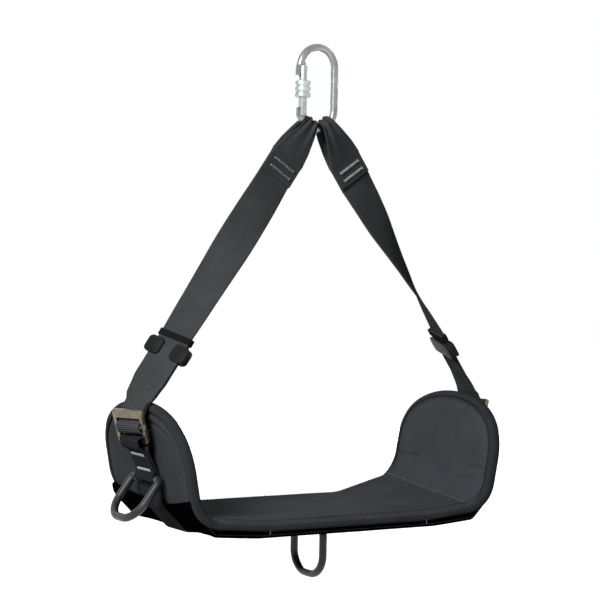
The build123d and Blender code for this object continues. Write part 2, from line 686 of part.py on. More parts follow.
# Tab under the board that carries the middle loop
under_z = black_low - web_off
tab_z = under_z - WEB_T - LAYER_GAP
mid_loop_z = under_z - WEB_T / 2 - CHANNEL_CLEAR - LOOP_CORD_D / 2
with BuildPart() as centre_loop_tab:
    with BuildSketch(Plane.XZ):
        ribbon(
            [
                (-TAB_HALF_L, tab_z),
                (-channel_r - 3, tab_z),
                (-channel_r, mid_loop_z - channel_r),
                (channel_r, mid_loop_z - channel_r),
                (channel_r + 3, tab_z),
                (TAB_HALF_L, tab_z),
            ],
            [2.0, 3.2, 3.2, 2.0],
            -WEB_T / 2,
            WEB_T / 2,
        )
    extrude(amount=WEB_W / 2, both=True)
finish(centre_loop_tab, "centre_loop_tab")

# Gear loops: a plastic tube over a cord that passes through its webbing channel
LOOP_SHAPE = [
    (LOOP_HALF_W, 0),
    (LOOP_HALF_W, LOOP_DROP - LOOP_CURVE_H),
    (LOOP_HALF_W - LOOP_CURVE_L, LOOP_DROP),
    (LOOP_CURVE_L - LOOP_HALF_W, LOOP_DROP),
    (-LOOP_HALF_W, LOOP_DROP - LOOP_CURVE_H),
    (-LOOP_HALF_W, 0),
]
LOOP_RADII = [LOOP_CORNER_R, 24.0, 28.0, 28.0, 24.0, LOOP_CORNER_R]
LOOP_PLACES = (
    ("left", (-loop_x, 0, LOOP_Z), -LOOP_SWING),
    ("right", (loop_x, 0, LOOP_Z), LOOP_SWING),
    ("centre", (0, 0, mid_loop_z), 0),
)
for loop_name, pivot, swing in LOOP_PLACES:
    hang = Vector(sin(radians(swing)), 0, -cos(radians(swing)))
    loop_plane = Plane(origin=pivot, x_dir=(0, 1, 0), z_dir=Vector(0, 1, 0).cross(hang))
    with BuildPart() as loop_tube:
        with BuildLine(loop_plane) as tube_path:
            FilletPolyline((LOOP_TUBE_START, 0), *LOOP_SHAPE, (-LOOP_TUBE_START, 0), radius=LOOP_RADII)
        for tube_r, how in ((LOOP_TUBE_D / 2, Mode.ADD), (LOOP_CORD_D / 2 + LOOP_CORD_CLEAR, Mode.SUBTRACT)):
            with BuildSketch(Plane(origin=tube_path.line @ 0, z_dir=tube_path.line % 0)):
                Circle(tube_r)
            sweep(path=tube_path.line, mode=how)
    finish(loop_tube, f"gear_loop_tube_{loop_name}")

    with BuildPart() as loop_cord:
        with BuildLine(loop_plane) as cord_path:
            FilletPolyline((0, 0), *LOOP_SHAPE, (-0.01, 0), radius=LOOP_RADII)
        with BuildSketch(Plane(origin=cord_path.line @ 0, z_dir=cord_path.line % 0)):
            Circle(LOOP_CORD_D / 2)
        sweep(path=cord_path.line)
    finish(loop_cord, f"gear_loop_cord_{loop_name}")

# Seat: pad, its cover and the binding round its edge
with BuildPart() as foam_pad:
    seat_layer(COVER_T, PAD_T - COVER_T, BINDING_W + 2 * COVER_T)
finish(foam_pad, "foam_pad")

with BuildPart() as pad_cover:
    seat_layer(0, PAD_T, BINDING_W)
    add(foam_pad.part, mode=Mode.SUBTRACT)
finish(pad_cover, "pad_cover")

with BuildPart() as edge_binding:
    seat_layer(BINDING_LOW, BINDING_HIGH, 0)
    with BuildSketch(SIDE_VIEW):
        seat_outline(BINDING_W)
    extrude(amount=2 * BIG, mode=Mode.SUBTRACT)
finish(edge_binding, "edge_binding")

# Wings: a stiffener sheet and the outer panel over it
for side_name, side in SIDES:
    with BuildPart() as wing_stiffener:
        seat_layer(-STIFFENER_T - 0.1, -0.1, STIFFENER_INSET)
        with BuildSketch(Plane.XY.offset(PANEL_LOW_Z + 4)):
            with Locations((side * BIG / 2, 0)):
                Rectangle(BIG, 2 * BIG)
        extrude(amount=BIG, mode=Mode.INTERSECT)
    finish(wing_stiffener, f"wing_stiffener_{side_name}")

    with BuildPart() as wing_panel:
        seat_layer(-PANEL_BACK - PANEL_T, -PANEL_BACK, BINDING_W)
        with BuildSketch(Plane.XY.offset(PANEL_LOW_Z)):
            with Locations((side * BIG / 2, 0)):
                Rectangle(BIG, 2 * BIG)
        extrude(amount=BIG, mode=Mode.INTERSECT)
    finish(wing_panel, f"wing_panel_{side_name}")

# Seat board under the pad
board_w = SEAT_DEPTH - 2 * BOARD_INSET
with BuildPart() as seat_board:
    with BuildSketch(Plane.XY.offset(board_top - BOARD_T)):
        with Locations((0, SEAT_Y)):
            RectangleRounded(BOARD_L, board_w, BOARD_CORNER_R)
    extrude(amount=BOARD_T)
    fillet(seat_board.faces().sort_by(Axis.Z)[0].edges(), 1.5)
    fillet(seat_board.faces().sort_by(Axis.Z)[-1].edges(), 1.5)
finish(seat_board, "seat_board")

# Black cover: a pocket round the board that fills the wedge under the rising pad and laps the wings
with BuildPart() as board_cover:
    with BuildSketch(Plane.XZ.offset(-SEAT_Y)):
        with BuildLine():
            FilletPolyline(*BLACK_ROUTE, radius=BLACK_RADII)
            Line(BLACK_ROUTE[-1], BLACK_ROUTE[0])
        make_face()
    extrude(amount=SEAT_DEPTH / 2 - BLACK_INSET, both=True)
    for end, route, radii in PROFILES:
        with BuildSketch(Plane.XZ.offset(-SEAT_Y - end * SEAT_DEPTH / 2)):
            with BuildLine():
                FilletPolyline(*route, radius=radii)
                Line(route[-1], route[0])
            make_face()
    loft(ruled=True, mode=Mode.SUBTRACT)
    with BuildSketch(Plane.XY.offset(board_top - BOARD_T)):
        with Locations((0, SEAT_Y)):
            RectangleRounded(BOARD_L + 2 * BOARD_CLEAR, board_w + 2 * BOARD_CLEAR, BOARD_CORNER_R)
    extrude(amount=BOARD_T, mode=Mode.SUBTRACT)
finish(board_cover, "board_cover")
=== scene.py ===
from math import atan2, ceil, cos, hypot, pi, radians, sin, tan

import bmesh
import bpy
import numpy as np
from mathutils import Matrix, Vector


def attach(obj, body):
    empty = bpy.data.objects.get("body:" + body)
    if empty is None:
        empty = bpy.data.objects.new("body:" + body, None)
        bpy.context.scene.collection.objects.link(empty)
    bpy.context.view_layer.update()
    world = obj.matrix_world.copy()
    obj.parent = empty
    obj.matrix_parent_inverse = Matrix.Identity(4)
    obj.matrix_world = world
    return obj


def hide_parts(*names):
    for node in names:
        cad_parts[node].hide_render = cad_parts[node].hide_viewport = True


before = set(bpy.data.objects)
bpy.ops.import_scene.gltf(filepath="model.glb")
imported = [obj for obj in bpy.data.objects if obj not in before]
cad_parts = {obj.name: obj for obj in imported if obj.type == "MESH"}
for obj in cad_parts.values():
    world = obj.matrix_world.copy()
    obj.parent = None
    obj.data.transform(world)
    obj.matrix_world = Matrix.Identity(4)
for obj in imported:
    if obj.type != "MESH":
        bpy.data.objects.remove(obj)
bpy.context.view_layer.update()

# All sizes below are millimetres in the frame of the CAD model, and MM turns them to metres.
MM = 0.001
UP = np.array((0.0, 0.0, 1.0))
BACK = np.array((0.0, 1.0, 0.0))


# Colour and node helpers
def srgb(code):
    """Linear colour of an sRGB hex code."""
    parts = [int(code[i : i + 2], 16) / 255 for i in (1, 3, 5)]
    return [c / 12.92 if c <= 0.04045 else ((c + 0.055) / 1.055) ** 2.4 for c in parts] + [1.0]


def add(tree, kind, inputs=None, stops=(), **settings):
    """Adds a node with its properties, its inputs as values or links, and the stops of a colour ramp."""
    made = tree.nodes.new(kind)
    for key, value in settings.items():
        setattr(made, key, value)
    for key, value in (inputs or {}).items():
        source = value.outputs[0] if isinstance(value, bpy.types.Node) else value
        if isinstance(source, bpy.types.NodeSocket):
            tree.links.new(source, made.inputs[key])
        else:
            made.inputs[key].default_value = source
    for entry, (place, code) in zip(made.color_ramp.elements if stops else (), stops):
        entry.position = place
        entry.color = srgb(code)
    return made


def new_finish(name):
    """An empty material with its node tree."""
    material = bpy.data.materials.new(name)
    material.use_nodes = True
    tree = material.node_tree
    tree.nodes.clear()
    return material, tree


def waves(tree, place, period_mm):
    """Ribs or threads as a sine with a real period."""
    turns = add(tree, "ShaderNodeMath", {0: place, 1: 2 * pi / (period_mm * MM)}, operation="MULTIPLY")
    return add(tree, "ShaderNodeMath", {0: turns}, operation="SINE")


def shaded(material, tree, colour, rough, height, strength, depth_mm, more=None):
    """Ends a material: its colour, roughness and bump, and what else its surface has."""
    bump = add(tree, "ShaderNodeBump", {"Height": height, "Strength": strength, "Distance": depth_mm * MM})
    inputs = {"Base Color": colour, "Roughness": rough, "Normal": bump, **(more or {})}
    add(tree, "ShaderNodeOutputMaterial", {"Surface": add(tree, "ShaderNodeBsdfPrincipled", inputs)})
    return material


def woven_webbing(name, dark, light, rib_mm, rough=0.8):
    """Polyester webbing: ribs run across its width, and a finer thread runs along it."""
    material, tree = new_finish(name)
    where = add(tree, "ShaderNodeTexCoord").outputs["Object"]
    place = add(tree, "ShaderNodeSeparateXYZ", {0: add(tree, "ShaderNodeUVMap", uv_map="weave")})
    rib = waves(tree, place.outputs["Y"], rib_mm)
    # Warp threads 1.1 mm apart cross the ribs
    thread = waves(tree, place.outputs["X"], 1.1)
    both = add(tree, "ShaderNodeMath", {0: thread, 1: 0.35, 2: rib}, operation="MULTIPLY_ADD")
    height = add(tree, "ShaderNodeMapRange", {0: both, 1: -1.35, 2: 1.35, 3: 0.0, 4: 1.0})
    patch = add(tree, "ShaderNodeTexNoise", {"Vector": where, "Scale": 35.0, "Detail": 3.0})
    fuzz = add(tree, "ShaderNodeTexNoise", {"Vector": where, "Scale": 1400.0, "Detail": 2.0})
    # The colour follows the rib height: painted shade in the hollows and painted highlight on the crests, with
    # random patches and fuzz over it
    tone = add(tree, "ShaderNodeMath", {0: patch, 1: 0.5, 2: height}, operation="MULTIPLY_ADD")
    tone = add(tree, "ShaderNodeMath", {0: fuzz, 1: 0.3, 2: tone}, operation="MULTIPLY_ADD")
    tone = add(tree, "ShaderNodeMapRange", {0: tone, 1: 0.2, 2: 1.5, 3: 0.0, 4: 1.0})
    colour = add(tree, "ShaderNodeValToRGB", {0: tone}, ((0.0, dark), (1.0, light)))
    matt = {"Sheen Weight": 0.02, "Sheen Roughness": 0.5, "Specular IOR Level": 0.0}
    return shaded(material, tree, colour, rough, height, 1.0, 0.6, matt)


def knitted_cloth(name, dark, light, thread_mm):
    """Nylon cloth laminated to foam: a fine even grain with a faint mottling."""
    material, tree = new_finish(name)
    where = add(tree, "ShaderNodeTexCoord").outputs["Object"]
    grain = add(tree, "ShaderNodeTexVoronoi", {"Vector": where, "Scale": 1 / (thread_mm * MM)}, feature="F1")
    fuzz = add(tree, "ShaderNodeTexNoise", {"Vector": where, "Scale": 900.0, "Detail": 3.0, "Roughness": 0.7})
    mottle = add(tree, "ShaderNodeTexNoise", {"Vector": where, "Scale": 28.0, "Detail": 4.0, "Roughness": 0.6})
    mix = add(tree, "ShaderNodeMath", {0: grain, 1: 0.55, 2: fuzz}, operation="MULTIPLY_ADD")
    mix = add(tree, "ShaderNodeMath", {0: mottle, 1: 0.6, 2: mix}, operation="MULTIPLY_ADD")
    tone = add(tree, "ShaderNodeMapRange", {0: mix, 1: 0.55, 2: 1.45, 3: 0.0, 4: 1.0})
    colour = add(tree, "ShaderNodeValToRGB", {0: tone}, ((0.0, dark), (1.0, light)))
    matt = {"Sheen Weight": 0.02, "Sheen Roughness": 0.45, "Specular IOR Level": 0.0}
    return shaded(material, tree, colour, 0.9, mix, 0.6, 0.3, matt)


def coated_cloth(name, dark, light):
    """Black cloth coated on its face: soft crumples over a tight weave 1.4 mm apart."""
    material, tree = new_finish(name)
    where = add(tree, "ShaderNodeTexCoord").outputs["Object"]
    place = add(tree, "ShaderNodeSeparateXYZ", {0: where})
    warp, weft = (waves(tree, place.outputs[axis], 1.4) for axis in "XY")
    weave = add(tree, "ShaderNodeMath", {0: warp, 1: weft}, operation="MULTIPLY")
    crumple = add(tree, "ShaderNodeTexNoise", {"Vector": where, "Scale": 18.0, "Detail": 4.0, "Roughness": 0.55})
    colour = add(tree, "ShaderNodeValToRGB", {0: crumple}, ((0.3, dark), (0.75, light)))
    height = add(tree, "ShaderNodeMath", {0: weave, 1: 0.08, 2: crumple}, operation="MULTIPLY_ADD")
    return shaded(material, tree, colour, 0.6, height, 0.5, 1.2, {"Specular IOR Level": 0.0})


def worked_metal(name, dark, light, rough, grit_mm, scratch=0.0, bump_mm=0.02, stretch=(1.0, 1.0, 1.0)):
    """Metal with a grain of the given grit, stretched along the way it was worked, and faint wear."""
    material, tree = new_finish(name)
    where = add(tree, "ShaderNodeTexCoord").outputs["Object"]
    turned = add(tree, "ShaderNodeMapping", {"Vector": where, "Scale": stretch})
    grain = add(tree, "ShaderNodeTexNoise", {"Vector": turned, "Scale": 1 / (grit_mm * MM), "Detail": 3.0})
    wear = add(tree, "ShaderNodeTexNoise", {"Vector": where, "Scale": 90.0, "Detail": 5.0, "Roughness": 0.65})
    colour = add(tree, "ShaderNodeValToRGB", {0: wear}, ((0.3, dark), (0.7, light)))
    patchy = add(tree, "ShaderNodeMapRange", {0: grain, 1: 0.3, 2: 0.7, 3: rough * 0.8, 4: rough * 1.25})
    height = add(tree, "ShaderNodeMath", {0: wear, 1: scratch, 2: grain}, operation="MULTIPLY_ADD")
    return shaded(material, tree, colour, patchy, height, 0.35, bump_mm, {"Metallic": 1.0})


def moulded_plastic(name, dark, light, rough, grain_mm=0.5, coat=0.0, shine=0.3):
    """Moulded plastic: a fine spark-eroded grain and slight unevenness in the gloss."""
    material, tree = new_finish(name)
    where = add(tree, "ShaderNodeTexCoord").outputs["Object"]
    grain = add(tree, "ShaderNodeTexNoise", {"Vector": where, "Scale": 1 / (grain_mm * MM), "Detail": 2.0})
    cloud = add(tree, "ShaderNodeTexNoise", {"Vector": where, "Scale": 60.0, "Detail": 3.0})
    colour = add(tree, "ShaderNodeValToRGB", {0: cloud}, ((0.3, dark), (0.7, light)))
    patchy = add(tree, "ShaderNodeMapRange", {0: cloud, 1: 0.3, 2: 0.7, 3: rough * 0.85, 4: rough * 1.2})
    gloss = {"Specular IOR Level": shine, "Coat Weight": coat, "Coat Roughness": 0.2}
    return shaded(material, tree, colour, patchy, grain, 0.3, 0.03, gloss)


def spun_thread(name, dark, light):
    """Polyester sewing thread: twisted strands that catch the light."""
    material, tree = new_finish(name)
    where = add(tree, "ShaderNodeTexCoord").outputs["Object"]
    twist = add(
        tree,
        "ShaderNodeTexWave",
        {"Vector": where, "Scale": 160.0, "Distortion": 2.0, "Detail": 1.0},
        bands_direction="DIAGONAL",
    ).outputs["Fac"]
    colour = add(tree, "ShaderNodeValToRGB", {0: twist}, ((0.1, dark), (0.9, light)))
    return shaded(material, tree, colour, 0.65, twist, 0.5, 0.1, {"Specular IOR Level": 0.15})


def birch_plywood(name):
    """Birch plywood, sanded: long pale grain."""
    material, tree = new_finish(name)
    where = add(tree, "ShaderNodeTexCoord").outputs["Object"]
    along = add(tree, "ShaderNodeMapping", {"Vector": where, "Scale": (1.0, 14.0, 14.0)})
    grain = add(tree, "ShaderNodeTexNoise", {"Vector": along, "Scale": 22.0, "Detail": 5.0, "Distortion": 0.6})
    colour = add(tree, "ShaderNodeValToRGB", {0: grain}, ((0.25, "#b58e62"), (0.75, "#dcc093")))
    return shaded(material, tree, colour, 0.6, grain, 0.3, 0.1)


# Woven polyester, dyed black, with ribs across it: its colour is painted lighter on the rib crests and darker in the
# hollows between them, as painted highlight and painted shade
WEBBING = woven_webbing("Webbing polyester", "#1d1e20", "#5b5d60", 2.3)
# The same webbing, drawn darker as painted shade: it runs in the shade of the buckles and under the seat
ANCHOR_WEBBING_SHADED = woven_webbing("Anchor webbing polyester", "#101012", "#38393c", 2.3)
# Rubber thread covered with polyester: a tighter rib, nearly black
ELASTIC = woven_webbing("Elastic woven", "#0c0c0e", "#2c2d30", 1.5, 0.6)
# Thin folded polyester tape: fine ribs that hardly show
BINDING_TAPE = woven_webbing("Binding tape", "#2b2c2f", "#4c4e52", 1.0, 0.85)
# Brushed nylon knit laminated to foam: matt charcoal with an even pimpled grain
SEAT_CLOTH = knitted_cloth("Seat cloth nylon", "#36383c", "#505257", 1.3)
PANEL_CLOTH = knitted_cloth("Wing panel cloth nylon", "#2c2e31", "#47494d", 1.4)
# Coated nylon, black, drawn darker than cloth can be: its own black with painted shade of its downward face over it
BLACK_CLOTH_AND_SHADE = coated_cloth("Board cover coated cloth", "#030303", "#080809")
# Polished carbon steel with zinc plating: a clear but slightly broken mirror, darker at its turns
FRAME_STEEL = worked_metal("Carabiner steel polished", "#7f8283", "#a9acad", 0.26, 0.6, 0.3)
# Turned steel with a satin finish: paler and softer than the frame
GATE_STEEL = worked_metal("Gate steel satin", "#9ea1a2", "#c0c3c4", 0.32, 0.5, 0.2)
# Ground steel pin ends and spring wire: the brightest steel
PIN_STEEL = worked_metal("Pin steel", "#b9bbbc", "#d6d8d8", 0.3, 0.4)
# Die-cast zinc, plated: whitish and grainy, with a broad soft shine
SLEEVE_ZINC = worked_metal("Sleeve zinc plated", "#a9afaf", "#ced3d3", 0.42, 0.7, 0.5, 0.05)
# Pressed steel with yellow passivation: a warm tan grey, brushed across the bar
BUCKLE_STEEL = worked_metal("Buckle steel plated", "#5d584c", "#7d7767", 0.4, 0.5, 0.6, 0.03, (1.0, 0.15, 1.0))
# Turned bar with its plating worn bright
SLIDER_STEEL = worked_metal("Sliding bar steel", "#77777a", "#a9a9a8", 0.34, 0.4, 0.4)
# Moulded nylon with a fine spark finish: dull black with soft highlights on its lips
KEEPER_PLASTIC = moulded_plastic("Keeper moulded plastic", "#121314", "#1e1f21", 0.5, shine=0.1)
# Extruded PVC hose: smooth dark grey, with a long soft highlight down its side
LOOP_PLASTIC = moulded_plastic("Gear loop tube plastic", "#222325", "#303234", 0.36, 0.8, 0.05)
# Bonded polyester thread: pale grey for the load-bearing tacks, charcoal and mid grey for the seams
TACK_THREAD = spun_thread("Tack thread grey", "#a5a6a9", "#d4d5d7")
SEAM_THREAD = spun_thread("Seam thread charcoal", "#1c1d1f", "#45474a")
EDGE_THREAD = spun_thread("Edge thread mid grey", "#5a5b5f", "#8d8e92")
DARK_THREAD = spun_thread("Binding thread black", "#0b0b0c", "#202124")
# Birch veneers, sanded and hidden inside the cover
BOARD_WOOD = birch_plywood("Board birch plywood")
# Plaited polyester cord: black with a faint twist
CORD_BRAID = spun_thread("Cord braid black", "#111113", "#2b2b2e")


# Geometry helpers
def unit(v):
    """Unit vectors along the last axis."""
    length = np.linalg.norm(v, axis=-1, keepdims=True)
    return v / np.maximum(length, 1e-9)


def rounded(points, radii, step):
    """Points along a 2-D route with rounded corners, about step apart."""
    points = [np.array(p, float) for p in points]
    way = [points[0]]
    for before, corner, after, radius in zip(points, points[1:], points[2:], radii):
        a, b = unit(corner - before), unit(after - corner)
        turn = atan2(a[0] * b[1] - a[1] * b[0], float(a @ b))
        reach = radius * tan(abs(turn) / 2)
        start = corner - a * reach
        inward = np.array((-a[1], a[0])) * (1 if turn > 0 else -1)
        centre = start + inward * radius
        count = max(2, ceil(abs(turn) * radius / step))
        for k in range(count + 1):
            angle = turn * k / count
            r = start - centre
            turned = (r[0] * cos(angle) - r[1] * sin(angle), r[0] * sin(angle) + r[1] * cos(angle))
            way.append(centre + np.array(turned))
    way.append(points[-1])
    filled = [way[0]]
    for a, b in zip(way, way[1:]):
        length = float(np.linalg.norm(b - a))
        if length < 1e-6:
            continue
        count = max(1, round(length / step))
        filled += [a + (b - a) * k / count for k in range(1, count + 1)]
    return np.array(filled)


def shifted(points, radii, distance):
    """A 2-D route moved to the left of its direction, with its corner radii."""
    ways = [unit(np.subtract(b, a)) for a, b in zip(points, points[1:])]
    route, corners = [], []
    for i, point in enumerate(points):
        a, b = ways[max(i - 1, 0)], ways[min(i, len(ways) - 1)]
        turn = atan2(a[0] * b[1] - a[1] * b[0], float(a @ b))
        normal = np.array((-(a[1] + b[1]), a[0] + b[0]))
        route.append(tuple(point + normal * distance / (cos(turn / 2) * np.linalg.norm(normal))))
        if 0 < i < len(points) - 1:
            corners.append(radii[i - 1] - distance if turn > 0 else radii[i - 1] + distance)
    return route, corners


def arc_length(points):
    """Distance along a run of points."""
    return np.concatenate(([0.0], np.cumsum(np.linalg.norm(np.diff(points, axis=0), axis=1))))


def resample(points, step):
    """The same run of points at an even spacing."""
    s = arc_length(points)
    count = max(2, round(s[-1] / step))
    at = np.linspace(0, s[-1], count + 1)
    return np.stack([np.interp(at, s, points[:, k]) for k in range(points.shape[1])], axis=1)


def smoothed(mesh):
    """Smooth shading on every face."""
    mesh.polygons.foreach_set("use_smooth", [True] * len(mesh.polygons))


def placed(name, mesh):
    """A new object of the scene, at the origin."""
    piece = bpy.data.objects.new(name, mesh)
    bpy.context.scene.collection.objects.link(piece)
    return piece


def settled(piece):
    """Makes the result of a piece's modifiers its plain mesh."""
    bpy.context.view_layer.update()
    made = bpy.data.meshes.new_from_object(piece.evaluated_get(bpy.context.evaluated_depsgraph_get()))
    piece.modifiers.clear()
    piece.data = made
    return made


def belongs(piece, body, replaces=()):
    """Gives a piece its body and hides the CAD nodes that it stands for."""
    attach(piece, body)
    if replaces:
        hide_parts(*replaces)
    return piece


def make_piece(name, verts, faces, material, body, uv=None, replaces=()):
    """A mesh piece from millimetre points, with its finish, its body and the CAD nodes that it stands for."""
    mesh = bpy.data.meshes.new(name)
    mesh.from_pydata((np.asarray(verts, float) * MM).tolist(), [], faces)
    if uv is not None:
        layer = mesh.uv_layers.new(name="weave")
        index = np.zeros(len(mesh.loops), int)
        mesh.loops.foreach_get("vertex_index", index)
        layer.data.foreach_set("uv", (np.asarray(uv, float) * MM)[index].astype(np.float32).ravel())
    mesh.update()
    mesh.validate()
    shaped = bmesh.new()
    shaped.from_mesh(mesh)
    bmesh.ops.recalc_face_normals(shaped, faces=shaped.faces)
    shaped.to_mesh(mesh)
    shaped.free()
    smoothed(mesh)
    mesh.materials.append(material)
    return belongs(placed(name, mesh), body, replaces)


def skin(rings, loop=False):
    """Faces between equal rings of points, with caps at the ends unless the rings form a loop."""
    n, m = len(rings), len(rings[0])
    verts = np.concatenate(rings)
    faces = []
    for i in range(n if loop else n - 1):
        a, b = i * m, ((i + 1) % n) * m
        faces += [(a + j, a + (j + 1) % m, b + (j + 1) % m, b + j) for j in range(m)]
    if not loop:
        faces += [tuple(range(m - 1, -1, -1)), tuple((n - 1) * m + j for j in range(m))]
    return verts, faces


def band(centres, across, half, bow=None, top_points=19):
    """Webbing along a run of centres: rounded edges, ribs mapped by its real length and width."""
    centres = np.asarray(centres, float)
    s = arc_length(centres)
    way = unit(np.gradient(centres, s, axis=0))
    across = np.asarray(across, float)
    across = unit(across - (across * way).sum(1, keepdims=True) * way)
    face = unit(np.cross(across, way))
    half = np.broadcast_to(half, len(centres))
    q = np.sin(np.linspace(-pi / 2, pi / 2, top_points))
    ring_q = np.concatenate((q, q[-2:0:-1]))
    up = np.concatenate((np.ones(top_points), -np.ones(top_points - 2)))
    up[[0, top_points - 1]] = 0.0
    rings, uv = [], []
    for i, centre in enumerate(centres):
        edge = np.clip((1 - np.abs(ring_q)) * half[i] / (WEB_T * 0.45), 0, 1)
        height = up * WEB_T / 2 * np.sqrt(1 - (1 - edge) ** 2)
        if bow is not None:
            height = height + bow(i, ring_q)
        rings.append(centre + np.outer(ring_q * half[i], across[i]) + np.outer(height, face[i]))
        uv += [(a, s[i]) for a in ring_q * half[i]]
    verts, faces = skin(rings)
    return verts, faces, uv


def flat_band(route):
    """Full-width webbing along a route in XZ."""
    centres = np.stack((route[:, 0], np.zeros(len(route)), route[:, 1]), axis=1)
    return band(centres, np.tile(BACK, (len(centres), 1)), WEB_HALF)


def tube_rings(points, radius, sides=28):
    """Rings of a round tube along points, turned as little as possible from one to the next."""
    points = np.asarray(points, float)
    way = unit(np.gradient(points, arc_length(points), axis=0))
    side = unit(np.cross(way[0], (0.3, 0.9, 0.2)))
    angle = np.linspace(0, 2 * pi, sides, endpoint=False)
    rings = []
    for p, w in zip(points, way):
        side = unit(side - (side @ w) * w)
        rings.append(p + radius * (np.outer(np.cos(angle), side) + np.outer(np.sin(angle), np.cross(w, side))))
    return rings


def finished_copy(node, material, bevel_mm, body, segments=2, angle=35):
    """A CAD node's own shape with its hard edges broken by a small bevel."""
    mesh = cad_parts[node].data.copy()
    shaped = bmesh.new()
    shaped.from_mesh(mesh)
    bmesh.ops.remove_doubles(shaped, verts=shaped.verts, dist=0.005 * MM)
    bmesh.ops.dissolve_limit(shaped, angle_limit=radians(0.5), verts=shaped.verts, edges=shaped.edges)
    shaped.to_mesh(mesh)
    shaped.free()
    smoothed(mesh)
    mesh.materials.clear()
    mesh.materials.append(material)
    piece = placed("_".join(part.capitalize() for part in node.split("_")) + "_finished", mesh)
    edge = piece.modifiers.new("Broken edges", "BEVEL")
    edge.width = bevel_mm * MM
    edge.segments = segments
    edge.limit_method = "ANGLE"
    edge.angle_limit = radians(angle)
    edge.harden_normals = False
    settled(piece).set_sharp_from_angle(angle=radians(40))
    return belongs(piece, body, [node])


# Stitching: dashes of thread along a seam, or one thread laid in zigzag for a bar tack
def sewing_tree(name, line, sizes, result):
    """A node tree with a line, sizes and a finish as inputs, and the sewing as its result."""
    tree = bpy.data.node_groups.new(name, "GeometryNodeTree")
    face = tree.interface
    face.new_socket(line, in_out="INPUT", socket_type="NodeSocketGeometry")
    for size, value in sizes:
        face.new_socket(size, in_out="INPUT", socket_type="NodeSocketFloat").default_value = value * MM
    face.new_socket("Finish", in_out="INPUT", socket_type="NodeSocketMaterial")
    face.new_socket(result, in_out="OUTPUT", socket_type="NodeSocketGeometry")
    start = add(tree, "NodeGroupInput")
    return tree, start.outputs, add(tree, "GeometryNodeMeshToCurve", {"Mesh": start.outputs[line]})


def end_sewing(tree, laid, finish):
    """Makes the laid thread real and gives it its finish."""
    real = add(tree, "GeometryNodeRealizeInstances", {"Geometry": laid})
    coloured = add(tree, "GeometryNodeSetMaterial", {"Geometry": real, "Material": finish})
    add(tree, "NodeGroupOutput", {0: coloured})
    return tree


def stitch_tree():
    """Geometry nodes that lay dashes of thread along a line."""
    sizes = (("Pitch", 4), ("Stitch", 3), ("Thread", 0.35))
    tree, given, line = sewing_tree("Sewn line", "Seam", sizes, "Stitches")
    spaced = add(tree, "GeometryNodeResampleCurve", {"Curve": line})
    try:
        spaced.mode = "LENGTH"
    except (AttributeError, TypeError):
        spaced.inputs["Mode"].default_value = "Length"
    tree.links.new(given["Pitch"], spaced.inputs["Length"])
    dots = add(tree, "GeometryNodeCurveToPoints", {"Curve": spaced}, mode="EVALUATED")
    capsule = add(tree, "GeometryNodeMeshUVSphere", {"Segments": 6, "Rings": 5, "Radius": 1.0})
    half = add(tree, "ShaderNodeMath", {0: given["Stitch"], 1: 0.5}, operation="MULTIPLY")
    size = add(tree, "ShaderNodeCombineXYZ", {0: given["Thread"], 1: given["Thread"], 2: half})
    dash = add(tree, "GeometryNodeTransform", {"Geometry": capsule.outputs["Mesh"], "Scale": size})
    laid = add(
        tree,
        "GeometryNodeInstanceOnPoints",
        {"Points": dots.outputs["Points"], "Instance": dash, "Rotation": dots.outputs["Rotation"]},
    )
    return end_sewing(tree, laid, given["Finish"])


def thread_tree():
    """Geometry nodes that turn a zigzag line into one laid thread."""
    tree, given, line = sewing_tree("Laid thread", "Line", (("Thread", 0.4),), "Laid")
    round_thread = add(tree, "GeometryNodeCurvePrimitiveCircle", {"Resolution": 6})
    tree.links.new(given["Thread"], round_thread.inputs["Radius"])
    laid = add(tree, "GeometryNodeCurveToMesh", {"Curve": line, "Profile Curve": round_thread, "Fill Caps": True})
    return end_sewing(tree, laid, given["Finish"])


STITCHES = stitch_tree()
THREAD = thread_tree()


def sewn(name, lines, thread_mm, finish, body="sling", replaces=(), pitch_mm=None, stitch_mm=None):
    """Thread along lines of millimetre points: dashes where a pitch is given, else one laid thread."""
    verts, edges = [], []
    for line in lines:
        first = len(verts)
        verts += (np.asarray(line, float) * MM).tolist()
        edges += [(i, i + 1) for i in range(first, len(verts) - 1)]
    mesh = bpy.data.meshes.new(name)
    mesh.from_pydata(verts, edges, [])
    piece = placed(name, mesh)
    laid = piece.modifiers.new("Sewing", "NODES")
    laid.node_group = STITCHES if pitch_mm else THREAD
    values = {"Thread": thread_mm * MM, "Finish": finish}
    if pitch_mm:
        values.update({"Pitch": pitch_mm * MM, "Stitch": stitch_mm * MM})
    for item in laid.node_group.interface.items_tree:
        if item.in_out == "INPUT" and item.name in values:
            laid[item.identifier] = values[item.name]
    smoothed(settled(piece))
    return belongs(piece, body, replaces)


def zigzag(centre, along, across, length, width, pitch):
    """A zigzag line of the given length and width about a centre."""
    count = round(length / pitch)
    return [
        centre + along * (-length / 2 + length * k / count) + across * (width / 2 if k % 2 else -width / 2)
        for k in range(count + 1)
    ]


# Bar tacks: length across the webbing, width, and pitch of the zigzag
TACK = (31, 3.0, 0.45)

# Straps
ROD_Z = -89.16
EYE_X = 13.0
SLOPE = radians(34.5)
WEB_HALF, WEB_T = 22.5, 2.4
TWIST = {
    -1: ((78, 0), (140, 17), (200, 42), (250, 55), (298, 62), (362, 62), (382, 76)),
    1: ((78, 0), (140, 20), (200, 46), (250, 63), (298, 74), (362, 74), (382, 80)),
}
BUCKLE = np.array((236.0, 0.0, -457.0))
TILT = radians(16.4)
YAW = radians(8.0)
TAIL_OFF = 2.8
LEAVE = radians(26)
SLIDER_V = 17.0
KEEPER_AT = 322.0
ELASTIC_AT = 304.0


def strap_axes(side):
    """Down the strap, and outwards across it."""
    return np.array((side * sin(SLOPE), 0, -cos(SLOPE))), np.array((side * cos(SLOPE), 0, sin(SLOPE)))


